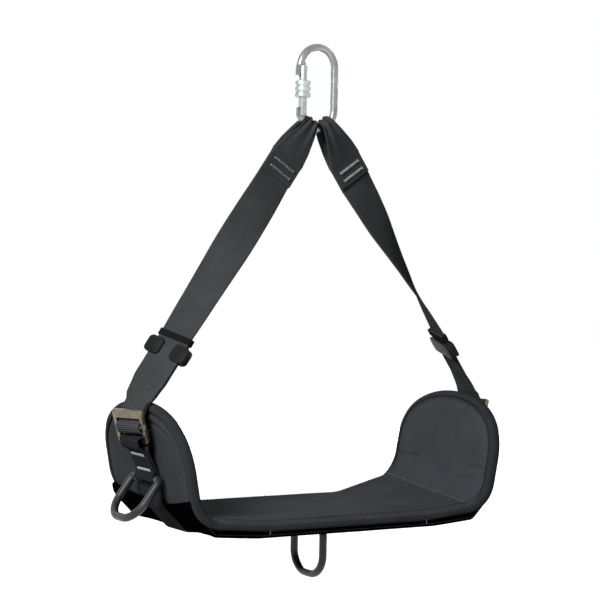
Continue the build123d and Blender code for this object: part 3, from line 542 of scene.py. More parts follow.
def strap_at(side, s, off=0.0):
    """Centre and width direction of a strap at a distance from the rod."""
    down, out = strap_axes(side)
    turn = radians(float(np.interp(s, *zip(*TWIST[side]))))
    width = out * cos(turn) + BACK * sin(turn)
    face = out * sin(turn) - BACK * cos(turn)
    return np.array((side * EYE_X, 0, ROD_Z)) + down * s + face * off, width, face


def buckle_axes(side):
    """Across, up and outwards in the buckle's plane."""
    up = np.array((side * sin(TILT), 0, cos(TILT)))
    out = np.array((side * cos(TILT), 0, -sin(TILT)))
    return BACK * cos(YAW) + out * sin(YAW), up, out * cos(YAW) - BACK * sin(YAW)


def buckle_point(side, n, v):
    """A point by the buckle, outwards and up from its lower bar."""
    _, up, out = buckle_axes(side)
    return BUCKLE * (side, 1, 1) + out * n + up * v


def smooth_run(values, passes):
    """Evens out a run of points, ends kept."""
    values = values.copy()
    for _ in range(passes):
        values[1:-1] = values[1:-1] * 0.5 + (values[:-2] + values[2:]) * 0.25
    return values


EYE_SHAPE = ((-90, 22.5), (-46, 22.5), (-30, 19.2), (-14, 14.2), (0, 10.2), (5, 8.6), (12, 7.6))


def make_strap(side, name):
    """One length of webbing: sewn eye, twisted run, wrap round the sliding bar, and tail."""
    down, out = strap_axes(side)
    eye = rounded(
        [(-1.45, -76), (-1.45, -52), (-9.0, -12), (-9.0, 8.1), (9.0, 8.1), (9.0, -12), (1.35, -52), (1.35, -78)],
        [25, 25, 6.5, 6.5, 25, 25],
        1.6,
    )
    origin = np.array((side * EYE_X, 0, ROD_Z))
    centres, across, half = [], [], []
    for y, u in eye:
        centres.append(origin + BACK * y - down * u)
        across.append(out)
        half.append(float(np.interp(u, *zip(*EYE_SHAPE))))
    eye_count = len(centres)
    for s in np.arange(81, 380, 3.0):
        centre, width, _ = strap_at(side, s, -1.35 * max(0.0, 1 - (s - 78) / 30))
        centres.append(centre)
        across.append(width)
        half.append(WEB_HALF)
    run_end = len(centres)
    reach = 4.7
    run_n, run_v = -1.9, SLIDER_V + 6
    step_n, step_v = -sin(LEAVE), cos(LEAVE)
    tail_n, tail_v = run_n - step_v * TAIL_OFF, run_v + step_n * TAIL_OFF
    wrap = rounded(
        [
            (run_n + step_n * 15, run_v + step_v * 15),
            (run_n, run_v),
            (reach, SLIDER_V + 3.2),
            (reach, SLIDER_V - reach - 2.5),
            (-reach, SLIDER_V - reach - 2.5),
            (-reach, tail_v + (reach + tail_n) * step_v / -step_n),
            (tail_n + step_n * 15, tail_v + step_v * 15),
        ],
        [3.0, 4.0, 4.6, 4.6, 4.0],
        1.2,
    )
    for n, v in wrap:
        centres.append(buckle_point(side, n, v))
        across.append(buckle_axes(side)[0])
        half.append(WEB_HALF)
    wrap_end = len(centres)
    for s in np.concatenate(([382.0], np.arange(375, 297, -3.0))):
        centre, width, _ = strap_at(side, s, -TAIL_OFF - 0.5 * max(0.0, 1 - abs(s - 378) / 14))
        centres.append(centre)
        across.append(width)
        half.append(WEB_HALF)
    centres = np.array(centres)
    # The bends above the buckle are eased, so that run and tail flow into it
    centres[run_end - 8 : run_end + 6] = smooth_run(centres[run_end - 8 : run_end + 6], 5)
    centres[wrap_end - 6 : wrap_end + 6] = smooth_run(centres[wrap_end - 6 : wrap_end + 6], 5)
    half = np.array(half)
    narrow = 1 - half / WEB_HALF

    def folds(i, q):
        """Gathering folds where the eye narrows, and a slight wave in the run."""
        gathered = 2.2 * narrow[i] * (np.cos(q * 7.0 + 0.8) - 0.4 * np.cos(q * 13.0))
        return gathered + (0.25 * np.sin(i * 0.21 + q * 1.6) if eye_count < i < run_end - 20 else 0.0)

    verts, faces, uv = band(centres, np.array(across), half, folds, 21)
    return make_piece(f"Strap_{name}", verts, faces, WEBBING, "sling", uv, [f"strap_{name}"])


for side, name in ((-1, "left"), (1, "right")):
    make_strap(side, name)
    down, out = strap_axes(side)
    origin = np.array((side * EYE_X, 0, ROD_Z)) - BACK * (1.45 + 1.2)
    lines = [zigzag(origin + down * s - BACK * 1.1, out, down, *TACK) for s in (57.5, 68.0)]
    sewn(f"Eye_tacks_{name}_thread", lines, 0.5, TACK_THREAD, "sling", [f"eye_tacks_{name}"])


# Keeper clips: a plate behind the strap, with a lip that laps each edge
def rounded_plate(width, height, radius, count=6):
    """Outline of a rectangle with rounded corners."""
    outline = []
    for cx, cy, start in (
        (width / 2 - radius, height / 2 - radius, 0),
        (radius - width / 2, height / 2 - radius, 90),
        (radius - width / 2, radius - height / 2, 180),
        (width / 2 - radius, radius - height / 2, 270),
    ):
        for k in range(count + 1):
            angle = radians(start + 90 * k / count)
            outline.append((cx + radius * cos(angle), cy + radius * sin(angle)))
    return outline


def slab(outline, low, high, edge, frame_of):
    """A plate between two heights with rounded edges, in a local frame."""
    outline = np.array(outline)
    middle = outline.mean(0)
    rings = []
    for height, shrink in (
        (low, edge), (low + edge * 0.3, edge * 0.3), (low + edge, 0),
        (high - edge, 0), (high - edge * 0.3, edge * 0.3), (high, edge),
    ):
        span = outline - middle
        reach = np.abs(span).max(0)
        scaled = middle + span * (1 - shrink / reach)
        rings.append(np.array([frame_of(a, b, height) for a, b in scaled]))
    return skin(rings)


def join(parts):
    """One list of points and faces out of several closed shells."""
    verts, faces = [], []
    for v, f in parts:
        first = len(verts)
        verts += np.asarray(v).tolist()
        faces += [tuple(i + first for i in face) for face in f]
    return verts, faces


for side, name in ((-1, "left"), (1, "right")):
    down, _ = strap_axes(side)
    middle, width, face = strap_at(side, KEEPER_AT)

    def clip_frame(a, b, n):
        """Across, down and outwards from the clip's middle."""
        return middle + width * a + down * b + face * n

    lip = rounded_plate(22, 21, 5.5)
    shells = [slab(rounded_plate(60, 21, 6), -6.9, -4.3, 0.8, clip_frame)]
    for end in (-1, 1):
        shells.append(slab([(a + end * 19, b) for a, b in lip], 1.5, 4.1, 0.9, clip_frame))
        corners = ((-1, -8), (-0.2, -9.8), (1, -8), (1, 8), (-0.2, 9.8), (-1, 8))
        wall = [(end * (26.6 + 3.2 * q), b) for q, b in corners]
        shells.append(slab(wall, -5.5, 3.0, 0.4, clip_frame))
    verts, faces = join(shells)
    body = f"keeper_{name}"
    nodes = [f"keeper_clip_{name}"]
    make_piece(f"Keeper_{name}_clip", verts, faces, KEEPER_PLASTIC, body, None, nodes)

    # Elastic band round both layers
    ring_path = rounded([(0, 1.9), (23.4, 1.9), (23.4, -4.7), (-23.4, -4.7), (-23.4, 1.9), (0, 1.9)], [1.2] * 4, 1.0)
    centres = [strap_at(side, ELASTIC_AT)[0] + width * a + face * n for a, n in ring_path[:-1]]
    rings, uv = [], []
    way_len = arc_length(ring_path)
    for i, centre in enumerate(centres):
        before, after = ring_path[i - 1 if i else -2], ring_path[i + 1]
        normal2 = unit(np.array((after[1] - before[1], before[0] - after[0])))
        outward = width * normal2[0] + face * normal2[1]
        if (np.array(ring_path[i]) - (0, -1.4)) @ normal2 < 0:
            outward = -outward
        section = [
            (-4, 0.5), (-3.4, 0.75), (0, 0.7), (3.4, 0.75), (4, 0.5),
            (4, 0.1), (3.4, -0.4), (0, -0.4), (-3.4, -0.4), (-4, 0.1),
        ]
        rings.append(np.array([centre + down * b + outward * h for b, h in section]))
        uv += [(way_len[i], b) for b, h in section]
    verts, faces = skin(rings, loop=True)
    make_piece(f"Keeper_{name}_elastic", verts, faces, ELASTIC, body, uv, [f"keeper_elastic_{name}"])


# Buckles
for side, name in ((-1, "left"), (1, "right")):
    finished_copy(f"buckle_frame_{name}", BUCKLE_STEEL, 0.9, "sling", 3)
    finished_copy(f"buckle_slider_{name}", SLIDER_STEEL, 0.35, f"slider_{name}")

# Seat path: level in the middle, rising, then up the wing to its top, and rising more at the back
SEAT_Y = 12.0
SEAT_Z = -556.0
FLAT_HALF = 108.0
WING_FOOT_X = 197.6
LEAN = radians(10.5)
WING_TOP = -413.0
HALF_DEPTH = 104.0


def wing_x(z, out=0.0):
    """Distance from the middle to the pad's outer face on a wing."""
    return WING_FOOT_X + (z - SEAT_Z) * tan(LEAN) + out / cos(LEAN)


def seat_profile(rise, foot_r):
    """Half of the pad's under side in XZ, with the same number of points for any rise."""
    run = (WING_FOOT_X - FLAT_HALF) / (1 - tan(rise) * tan(LEAN))
    foot = (FLAT_HALF + run, SEAT_Z + run * tan(rise))
    corners = [np.array(c) for c in ((0.0, SEAT_Z), (FLAT_HALF, SEAT_Z), foot, (wing_x(WING_TOP), WING_TOP))]
    stops, arcs = [corners[0]], []
    for before, corner, after, radius in ((*corners[:3], 80.0), (*corners[1:], foot_r)):
        a, b = unit(corner - before), unit(after - corner)
        angle = atan2(a[0] * b[1] - a[1] * b[0], float(a @ b))
        reach = radius * tan(angle / 2)
        stops += [corner - a * reach, corner + b * reach]
        centre = corner - a * reach + np.array((-a[1], a[0])) * radius
        arcs.append((centre, radius, atan2(a[1], a[0]) - pi / 2, angle))
    stops.append(corners[3])
    run_of = []
    for i, count in enumerate((200, 30, 90, 110, 220)):
        k = np.linspace(0, 1, count, endpoint=i == 4)[:, None]
        if i % 2:
            centre, radius, start, angle = arcs[i // 2]
            turn = start + angle * k[:, 0]
            run_of.append(centre + radius * np.stack((np.cos(turn), np.sin(turn)), axis=1))
        else:
            run_of.append(stops[i] + (stops[i + 1] - stops[i]) * k)
    return np.concatenate(run_of)


def left_normal(run):
    """Normals to the left of a run of 2-D points."""
    way = unit(np.gradient(run, arc_length(run), axis=0))
    return np.stack((-way[:, 1], way[:, 0]), axis=1)


FRONT, REAR = seat_profile(radians(5), 42.0), seat_profile(radians(15), 50.0)
FRONT_N, REAR_N = left_normal(FRONT), left_normal(REAR)
PATH_S = arc_length((FRONT + REAR) / 2)
PATH_END = float(PATH_S[-1])


def blend_at(t, w, front, rear):
    """A value of the two profiles' tables at a distance along the seat and a place across it."""
    k = (np.asarray(w) + HALF_DEPTH) / (2 * HALF_DEPTH)
    a = np.abs(t)
    return np.interp(a, PATH_S, front) * (1 - k) + np.interp(a, PATH_S, rear) * k


def on_seat(t, w, n=0.0):
    """Point at a signed distance t along the seat, w behind its middle line, n above the under side."""
    side = np.where(np.asarray(t) < 0, -1.0, 1.0)
    x = blend_at(t, w, FRONT[:, 0], REAR[:, 0]) + blend_at(t, w, FRONT_N[:, 0], REAR_N[:, 0]) * n
    z = blend_at(t, w, FRONT[:, 1], REAR[:, 1]) + blend_at(t, w, FRONT_N[:, 1], REAR_N[:, 1]) * n
    return np.stack(np.broadcast_arrays(side * x, np.asarray(w) + SEAT_Y, z), axis=-1)


def seat_normal(t, w):
    """Direction into the seat, away from its under side."""
    side = -1.0 if t < 0 else 1.0
    x = blend_at(t, w, FRONT_N[:, 0], REAR_N[:, 0])
    return np.array((side * float(x), 0.0, float(blend_at(t, w, FRONT_N[:, 1], REAR_N[:, 1]))))


def place_of(table, column, value, after=0):
    """Distance along the seat where a profile's x or z reaches a value."""
    return float(np.interp(value, table[after:, column], PATH_S[after:]))


FOOT_T = float(PATH_S[375])
WING_START = 320
# Cross seam between the level seat and each wing, nearer to the middle at the front
SEAM_FRONT, SEAM_REAR = place_of(FRONT, 0, 173.0), place_of(REAR, 0, 188.0)


def seam_at(w):
    """Distance along the seat of the cross seam."""
    k = (np.asarray(w) + HALF_DEPTH) / (2 * HALF_DEPTH)
    return SEAM_FRONT * (1 - k) + SEAM_REAR * k


# Outline of the seat laid flat, one quarter: straight side, then the wing's arch
ARCH_LEN = 70.0 / cos(LEAN)
bezier_t = np.linspace(0, 1, 60)[:, None]
arch = (
    (1 - bezier_t) ** 3 * np.array((PATH_END - ARCH_LEN, HALF_DEPTH))
    + 3 * (1 - bezier_t) ** 2 * bezier_t * np.array((PATH_END - ARCH_LEN * 0.34, HALF_DEPTH))
    + 3 * (1 - bezier_t) * bezier_t**2 * np.array((PATH_END, 60.0))
    + bezier_t**3 * np.array((PATH_END, 0.0))
)
QUARTER = resample(np.concatenate(([(0.0, HALF_DEPTH)], arch)), 3.0)
OUTLINE = np.concatenate((QUARTER, QUARTER[-2::-1] * (1, -1), QUARTER[1:] * (-1, -1), QUARTER[-2:0:-1] * (-1, 1)))


def rim_distance(t, w):
    """Distance in the flat cloth from a point to the nearest edge of the seat."""
    points = np.stack((np.ravel(t), np.ravel(w)), axis=1)
    a, b = OUTLINE, np.roll(OUTLINE, -1, axis=0)
    ab = b - a
    best = np.full(len(points), 1e9)
    for start, way in zip(a, ab):
        rel = points - start
        k = np.clip((rel @ way) / max(way @ way, 1e-9), 0, 1)
        best = np.minimum(best, np.hypot(*(rel - np.outer(k, way)).T))
    return best.reshape(np.shape(t))


def groove(d, at, depth, width):
    """A sewn channel at a distance."""
    return -depth * np.exp(-(((d - at) / width) ** 2))


def pad_rows(inset, low_t=None, step=3.0):
    """Places along the seat, and half widths there, for a piece inset from the outline."""
    run = resample(QUARTER, step)
    t, h = run[:, 0], run[:, 1]
    shrink = np.clip((PATH_END - t) / 60.0, 0.0, 1.0)
    t = t * (PATH_END - inset) / PATH_END
    h = np.maximum(h - inset * (0.4 + 0.6 * shrink), 0.6)
    if low_t is not None:
        keep = t > low_t
        return np.concatenate(([low_t], t[keep])), np.concatenate(([np.interp(low_t, t, h)], h[keep]))
    return np.concatenate((-t[:0:-1], t)), np.concatenate((h[:0:-1], h))


def shell(rows, top, low, count=49, warp=None):
    """A closed cloth shell over rows of (t, half width), between two height functions of t, w and edge."""
    t_rows, h_rows = rows
    q = np.sin(np.linspace(-pi / 2, pi / 2, count))
    ring_q = np.concatenate((q, q[-2:0:-1]))
    is_top = np.arange(len(ring_q)) < count
    grid_w = h_rows[:, None] * ring_q
    grid_t = np.repeat(t_rows[:, None], len(ring_q), axis=1)
    if warp is not None:
        grid_t = warp(grid_t, grid_w)
    d = rim_distance(grid_t, grid_w)
    edge = (1 - np.abs(ring_q)) * h_rows[:, None]
    n = np.where(is_top, top(grid_t, grid_w, d, edge), low(grid_t, grid_w, d, edge))
    return skin(list(on_seat(grid_t, grid_w, n)))


rng = np.random.default_rng(7)
# Place along and across, direction, size and height of each dent or swell
WRINKLE_RANGES = ((-PATH_END, PATH_END), (-90, 90), (0, pi), (10, 26), (-0.5, 0.35))
WRINKLES = [tuple(rng.uniform(*limits) for limits in WRINKLE_RANGES) for _ in range(70)]


def soft_unevenness(t, w):
    """Low dents and swells where the foam isn't quite even."""
    total = np.zeros(np.shape(t))
    for ct, cw, turn, size, depth in WRINKLES:
        a = (t - ct) * cos(turn) + (w - cw) * sin(turn)
        b = (w - cw) * cos(turn) - (t - ct) * sin(turn)
        total += depth * np.exp(-((a / size) ** 2 + (b / (size * 2.2)) ** 2))
    return total


def crease(t, w, ct, w0, w1, depth, width, wander=1.5):
    """A narrow crease across the pad at one place along it."""
    line = ct + wander * np.sin((w - w0) * 0.12)
    along = np.clip((w - w0) / 14, 0, 1) * np.clip((w1 - w) / 14, 0, 1)
    return -depth * np.exp(-(((t - line) / width) ** 2)) * along


CREASES = (
    (place_of(REAR, 1, -498.0, WING_START), 40, 104, 2.2, 1.6),
    (place_of(FRONT, 1, -504.5, WING_START), -104, -52, 2.2, 1.6),
    (place_of(REAR, 1, -512.0, WING_START), 10, 60, 1.0, 2.2),
    (place_of(FRONT, 1, -522.0, WING_START), -84, -30, 1.0, 2.4),
)


def wing_share(t):
    """How far a place has passed from the level seat to the wing, from 0 to 1."""
    return np.clip((np.abs(t) - FOOT_T + 30) / 40.0, 0, 1)


def pad_top(t, w, d, edge):
    """Upper face of the pad: low at its edge, a sewn channel along the rim, then the full thickness."""
    a = np.abs(t)
    on_wing = wing_share(t)
    rise = 1 - np.exp(-np.maximum(d - 3, 0) / (2.6 + 3.4 * on_wing))
    height = 3.4 + 7.1 * rise
    height += groove(d, 11.5, 0.2 + 2.2 * on_wing, 1.8)
    height += soft_unevenness(t, w) * np.clip(d / 20, 0, 1)
    height += -1.4 * np.exp(-(((a - seam_at(w)) / 1.7) ** 2)) * np.clip(d / 8, 0, 1)
    for place, w0, w1, depth, width in CREASES:
        height += crease(a, w, place, w0, w1, depth, width)
    # The foam bunches a little on the inside of each foot
    height += 0.8 * np.exp(-(((a - FOOT_T) / 14) ** 2)) * np.clip(d / 20, 0, 1)
    tight = np.clip(edge / 3.0, 0, 1)
    return 2.2 + (height - 2.2) * np.sqrt(1 - (1 - tight) ** 2)


def pad_low(t, w, d, edge):
    """Under side of the pad."""
    tight = np.clip(edge / 2.0, 0, 1)
    return 2.2 - 2.2 * np.sqrt(1 - (1 - tight) ** 2)


verts, faces = shell(pad_rows(3.0, step=2.0), pad_top, pad_low, 105)
pad = make_piece("Seat_pad_cover", verts, faces, SEAT_CLOTH, "sling", None, ["pad_cover", "foam_pad"])


def binding_faces(t):
    """Heights of the binding's lower and upper face, which stand further apart on the wings."""
    share = float(wing_share(t))
    return -1.4 - 2.8 * share, 4.6 + 2.6 * share


def rim_ways():
    """Each point of the outline, with the way out of the seat in the flat cloth."""
    for i, point in enumerate(OUTLINE):
        way = unit(OUTLINE[(i + 1) % len(OUTLINE)] - OUTLINE[i - 1])
        out = np.array((way[1], -way[0]))
        yield point, -out if out @ point < 0 else out


# Binding round the whole rim
rim_s = np.concatenate(([0.0], np.cumsum(np.hypot(*(np.roll(OUTLINE, -1, axis=0) - OUTLINE).T))))
rings, uv = [], []
for i, ((t, w), flat_out) in enumerate(rim_ways()):
    low, high = binding_faces(t)
    middle, bulge = (high + low) / 2, (high - low) * 0.25
    section = [
        (-8.0, high + 0.3), (-7.2, high + 0.9), (-4.0, high + 0.5), (-1.4, high - 0.5), (-0.2, middle + bulge),
        (0.0, middle), (-0.2, middle - bulge), (-1.4, low + 0.5), (-4.0, low - 0.3), (-7.2, low - 0.4),
        (-8.0, low + 0.1), (-6.5, low + 0.8), (-4.5, middle), (-6.5, high - 0.8),
    ]
    inner = np.clip(t, 1 - PATH_END, PATH_END - 1)
    outward = unit(on_seat(inner + 1, w) - on_seat(inner - 1, w)) * flat_out[0] + BACK * flat_out[1]
    base, normal = on_seat(t, w), seat_normal(t, w)
    rings.append(np.array([base + outward * o + normal * n for o, n in section]))
    uv += [(4.0 * k, rim_s[i]) for k in range(len(section))]
verts, faces = skin(rings, loop=True)
make_piece("Edge_binding_tape", verts, faces, BINDING_TAPE, "sling", uv, ["edge_binding"])


def rim_line(inset, height):
    """A closed line on the seat at a distance in from its rim."""
    places = [point - flat_out * inset for point, flat_out in rim_ways()]
    line = [on_seat(t, w, height(t)) for t, w in places]
    return line + line[:1]


def binding_top(t):
    """Height of a thread on the binding's upper face."""
    return binding_faces(t)[1] + 0.75


def thread_height(t, w, d):
    """Height of the pad's face, away from its edge."""
    return float(pad_top(*(np.array([[value]]) for value in (t, w, d, 20.0)))[0, 0])


def channel_top(t):
    """Height of a thread in the pad's sewn channel."""
    return thread_height(t, 0.0, 11.5) + 0.25


sewn("Binding_seam", [rim_line(6.2, binding_top)], 0.4, DARK_THREAD, pitch_mm=3.6, stitch_mm=2.7)
sewn("Pad_channel_seam", [rim_line(11.5, channel_top)], 0.35, SEAM_THREAD, pitch_mm=3.8, stitch_mm=2.6)

# Zigzag that closes the binding, and the cross seams between the level seat and each wing
edge_zigzag = resample(np.array(rim_line(7.2, lambda t: binding_top(t) + 0.15)), 1.0)
inner_edge = resample(np.array(rim_line(9.4, lambda t: channel_top(t) + 1.0)), 1.0)
count = min(len(edge_zigzag), len(inner_edge)) // 2
zig = []
for i, share in enumerate(np.linspace(0, 1, count)):
    edge_line = edge_zigzag if i % 2 else inner_edge
    zig.append(edge_line[int(share * (len(edge_line) - 1))])
sewn("Binding_zigzag", [zig], 0.4, DARK_THREAD)
for side, name in ((-1, "left"), (1, "right")):
    line = []
    for w in np.linspace(-94, 94, 64):
        t = float(seam_at(w))
        n = thread_height(t, w, rim_distance(np.array([[t]]), np.array([[w]]))[0, 0])
        line.append(on_seat(side * (t + 1.1 * sin(w * 0.13) * sin(w * 0.037)), w, n + 0.35))
    sewn(f"Cross_seam_{name}", [line], 0.35, EDGE_THREAD, pitch_mm=2.6, stitch_mm=2.3)
ticks = [[on_seat(side * FLAT_HALF, -HALF_DEPTH, n) + BACK * -0.3 for n in (-4.5, -2.0, 0.5)] for side in (-1, 1)]
sewn("Front_edge_ticks", ticks, 0.4, EDGE_THREAD)

# Outer wing panels, with two sewn channels that follow the rim
HEM_W = np.linspace(-HALF_DEPTH, HALF_DEPTH, 53)


def hem_places(middle_z, rise):
    """Distances along the seat of an edge that is lowest under the webbing and rises to the front and back."""
    places = []
    for w in HEM_W:
        k = (w + HALF_DEPTH) / (2 * HALF_DEPTH)
        heights = FRONT[:, 1] * (1 - k) + REAR[:, 1] * k
        places.append(np.interp(middle_z + rise * (w / HALF_DEPTH) ** 2, heights[300:], PATH_S[300:]))
    return np.array(places)


PANEL_HEM = hem_places(-528.5, 12.0)
PANEL_LOW_T = float(PANEL_HEM.mean())


def wing_warp(t, w):
    """Shifts the rows so that the lower edge follows its hem."""
    low = np.interp(w, HEM_W, PANEL_HEM)
    return low + (t - PANEL_LOW_T) * (PATH_END - low) / (PATH_END - PANEL_LOW_T)


def panel_outer(t, w, d, edge):
    """Outer face of a wing panel, measured out from the pad."""
    height = 1.2 + 3.0 * (1 - np.exp(-np.maximum(d - 2, 0) / 5.0))
    height += groove(d, 9.0, 2.6, 1.5) + groove(d, 20.0, 2.6, 1.7) - groove(d, 14.5, 1.0, 3.0)
    height += 0.5 * np.sin(t * 0.05 + w * 0.03) * np.clip(d / 30, 0, 1)
    tight = np.clip(edge / 2.5, 0, 1)
    return -(0.6 + (height - 0.6) * np.sqrt(1 - (1 - tight) ** 2))


def panel_inner(t, w, d, edge):
    """Inner face of a wing panel."""
    return np.full(np.shape(t), -0.5)


for side, name in ((-1, "left"), (1, "right")):
    verts, faces = shell(pad_rows(2.5, PANEL_LOW_T, 2.0), panel_outer, panel_inner, 91, wing_warp)
    verts = verts * (side, 1, 1)
    nodes = [f"wing_panel_{name}", f"wing_stiffener_{name}"]
    make_piece(f"Wing_{name}_outer_panel", verts, faces, PANEL_CLOTH, "sling", None, nodes)

# Black cover round the board
BLACK_OUT = 5.2
BLACK_END_Z = -520.5
BLACK_ROUTE = [(0.0, -565.0), (120.0, -565.0), (179.0, -560.5)]
BLACK_ROUTE += [(wing_x(z, BLACK_OUT), z) for z in (-531.0, BLACK_END_Z)]
BLACK_RADII = [60.0, 9.0, 20.0]
black_route = rounded(BLACK_ROUTE, BLACK_RADII, 0.5)
BLACK_HEM = hem_places(-527.5, 12.0)
BLACK_FRONT, BLACK_REAR = float(BLACK_HEM[0]), float(BLACK_HEM[-1])
BLACK_T = float(BLACK_HEM.mean())


def black_depths(profile, normals, end):
    """How far the black cover reaches below one profile, along its normal."""
    depths = []
    for point, normal, s in zip(profile, normals, PATH_S):
        rel = black_route - point
        along = -(rel @ normal)
        off = np.abs(rel @ np.array((-normal[1], normal[0])))
        near = (along > 0) & (off < 0.5)
        depths.append(float(along[near].min()) if near.any() and s < end else BLACK_OUT)
    return smooth_run(np.array(depths), 6)


FRONT_DEPTH = black_depths(FRONT, FRONT_N, BLACK_FRONT)
REAR_DEPTH = black_depths(REAR, REAR_N, BLACK_REAR)


def black_warp(t, w):
    """Shifts the rows so that the cover's ends follow the hem of the wing panels."""
    end = np.interp(w, HEM_W, BLACK_HEM)
    far = np.clip((np.abs(t) - FLAT_HALF) / (BLACK_T - FLAT_HALF), 0, 1)
    return t + np.sign(t) * (end - BLACK_T) * far


def black_low(t, w, d, edge):
    """Outer face of the black cover, rounded at its front and back edges, with slack between the seams."""
    depth = blend_at(t, w, FRONT_DEPTH, REAR_DEPTH)
    sag = 0.5 * np.sin(t * 0.045 + 1.0) * np.sin(w * 0.05) + 0.3 * np.sin(t * 0.11 + w * 0.07)
    tight = np.clip(edge / 1.5, 0, 1)
    return -(depth + sag * np.clip(edge / 12, 0, 1)) + 1.2 * (1 - np.sqrt(1 - (1 - tight) ** 2))


def black_top(t, w, d, edge):
    """Where the cover meets the pad."""
    return np.full(np.shape(t), -0.2)


black_t = np.unique(np.concatenate((np.linspace(0, FLAT_HALF, 30), np.arange(FLAT_HALF, BLACK_T, 1.5), [BLACK_T])))
black_t = np.concatenate((-black_t[:0:-1], black_t))
verts, faces = shell((black_t, np.full(len(black_t), 100.2)), black_top, black_low, 61, black_warp)
make_piece("Board_cover_cloth", verts, faces, BLACK_CLOTH_AND_SHADE, "sling", None, ["board_cover"])
hem = []
for front in (-1, 1):
    w = front * 100.5
    hem_t = black_warp(black_t, np.full(len(black_t), w))
    hem.append([on_seat(t, w, 3.4 - float(blend_at(t, w, FRONT_DEPTH, REAR_DEPTH))) for t in hem_t])
sewn("Board_cover_hem", hem, 0.45, SEAM_THREAD, pitch_mm=4.2, stitch_mm=2.8)

# Anchor webbing, from buckle to buckle under the seat
CHANNEL_R = 4.0
MAIN_OUT = 6.7
PAIR = 1.35
LOOP_Z = -500.0
LOOP_X = 218.861
pair_foot = np.array((wing_x(LOOP_Z + 3, MAIN_OUT + PAIR), LOOP_Z + 3))
pair_slope = atan2(BUCKLE[0] - pair_foot[0], BUCKLE[2] - pair_foot[1])
pair_len = hypot(BUCKLE[0] - pair_foot[0], BUCKLE[2] - pair_foot[1])


def by_pair(off, along):
    """A point beside the doubled webbing: outwards, and up from the wing."""
    return (
        pair_foot[0] + along * sin(pair_slope) + off * cos(pair_slope),
        pair_foot[1] + along * cos(pair_slope) - off * sin(pair_slope),
    )


def by_buckle(n, v):
    """A point near the right buckle in XZ."""
    return BUCKLE[0] + n * cos(TILT) + v * sin(TILT), BUCKLE[2] - n * sin(TILT) + v * cos(TILT)


rising = [by_pair(-PAIR, 0), by_pair(-PAIR, pair_len - 12)]
rising += [by_buckle(n, v) for n, v in ((-6.76, -5), (-6.76, 4.8), (6.76, 4.8), (6.76, -5))]
rising += [by_pair(PAIR, pair_len - 13), by_pair(PAIR, 5), (LOOP_X + CHANNEL_R, LOOP_Z + 3.5)]
rising += [(LOOP_X + CHANNEL_R, LOOP_Z - CHANNEL_R), (LOOP_X - 1, LOOP_Z - CHANNEL_R)]
under, under_radii = shifted(BLACK_ROUTE, BLACK_RADII, -1.5)
half_web = rounded(under[:-1] + rising, under_radii + [20, 5, 3, 2.2, 2.2, 3, 5, 3, 3, 3.9], 1.4)
verts, faces, uv = flat_band(np.concatenate((half_web[:0:-1] * (-1, 1), half_web)))
make_piece("Anchor_webbing_strap", verts, faces, ANCHOR_WEBBING_SHADED, "sling", uv, ["anchor_webbing"])

for side, name in ((-1, "left"), (1, "right")):
    outward = np.array((side * cos(pair_slope), 0, -sin(pair_slope)))
    along = np.array((side * sin(pair_slope), 0, cos(pair_slope)))
    lines = []
    for up in (8.5, 28.0):
        x, z = by_pair(PAIR + 1.2, up)
        centre = np.array((side * x, 0, z))
        lines.append(zigzag(centre + outward * 0.8, BACK, along, *TACK))
    sewn(f"Anchor_tacks_{name}_thread", lines, 0.5, TACK_THREAD, "sling", [f"anchor_tacks_{name}"])

tab = [(-28, -569.2), (-7, -569.2), (-4, -574.5), (4, -574.5), (7, -569.2), (28, -569.2)]
verts, faces, uv = flat_band(rounded(tab, [2.0, 3.2, 3.2, 2.0], 0.8))
make_piece("Centre_loop_tab_webbing", verts, faces, ANCHOR_WEBBING_SHADED, "sling", uv, ["centre_loop_tab"])
lines = [zigzag(np.array((x, 0, -570.75)), BACK, np.array((1.0, 0, 0)), 31, 2.2, 0.55) for x in (-17, 17)]
sewn("Centre_tab_tacks", lines, 0.5, TACK_THREAD)

# Gear loops: plastic tube over cord
loop_route = rounded(
    [(24.0, 0), (33, 0), (33, 40), (17, 55), (-17, 55), (-33, 40), (-33, 0), (-24.0, 0)], [7, 24, 28, 28, 24, 7], 1.5
)
for name, pivot, swing in (
    ("left", (-LOOP_X, 0, LOOP_Z), -37),
    ("right", (LOOP_X, 0, LOOP_Z), 37),
    ("centre", (0, 0, -570.5), 0),
):
    hang = np.array((sin(radians(swing)), 0, -cos(radians(swing))))
    points = np.array([np.array(pivot) + BACK * a + hang * b for a, b in loop_route])
    # One closed skin: out along the tube and back through its bore
    verts, faces = skin(tube_rings(points, 4.65) + tube_rings(points, 2.75)[::-1], loop=True)
    nodes = [f"gear_loop_tube_{name}"]
    piece = make_piece(f"Gear_loop_{name}_tube", verts, faces, LOOP_PLASTIC, f"loop_{name}", None, nodes)
    piece.data.set_sharp_from_angle(angle=radians(50))


# Carabiner
finished_copy("carabiner_body", FRAME_STEEL, 0.5, "carabiner", 2, 40)
finished_copy("carabiner_gate", GATE_STEEL, 0.3, "gate", 2, 40)


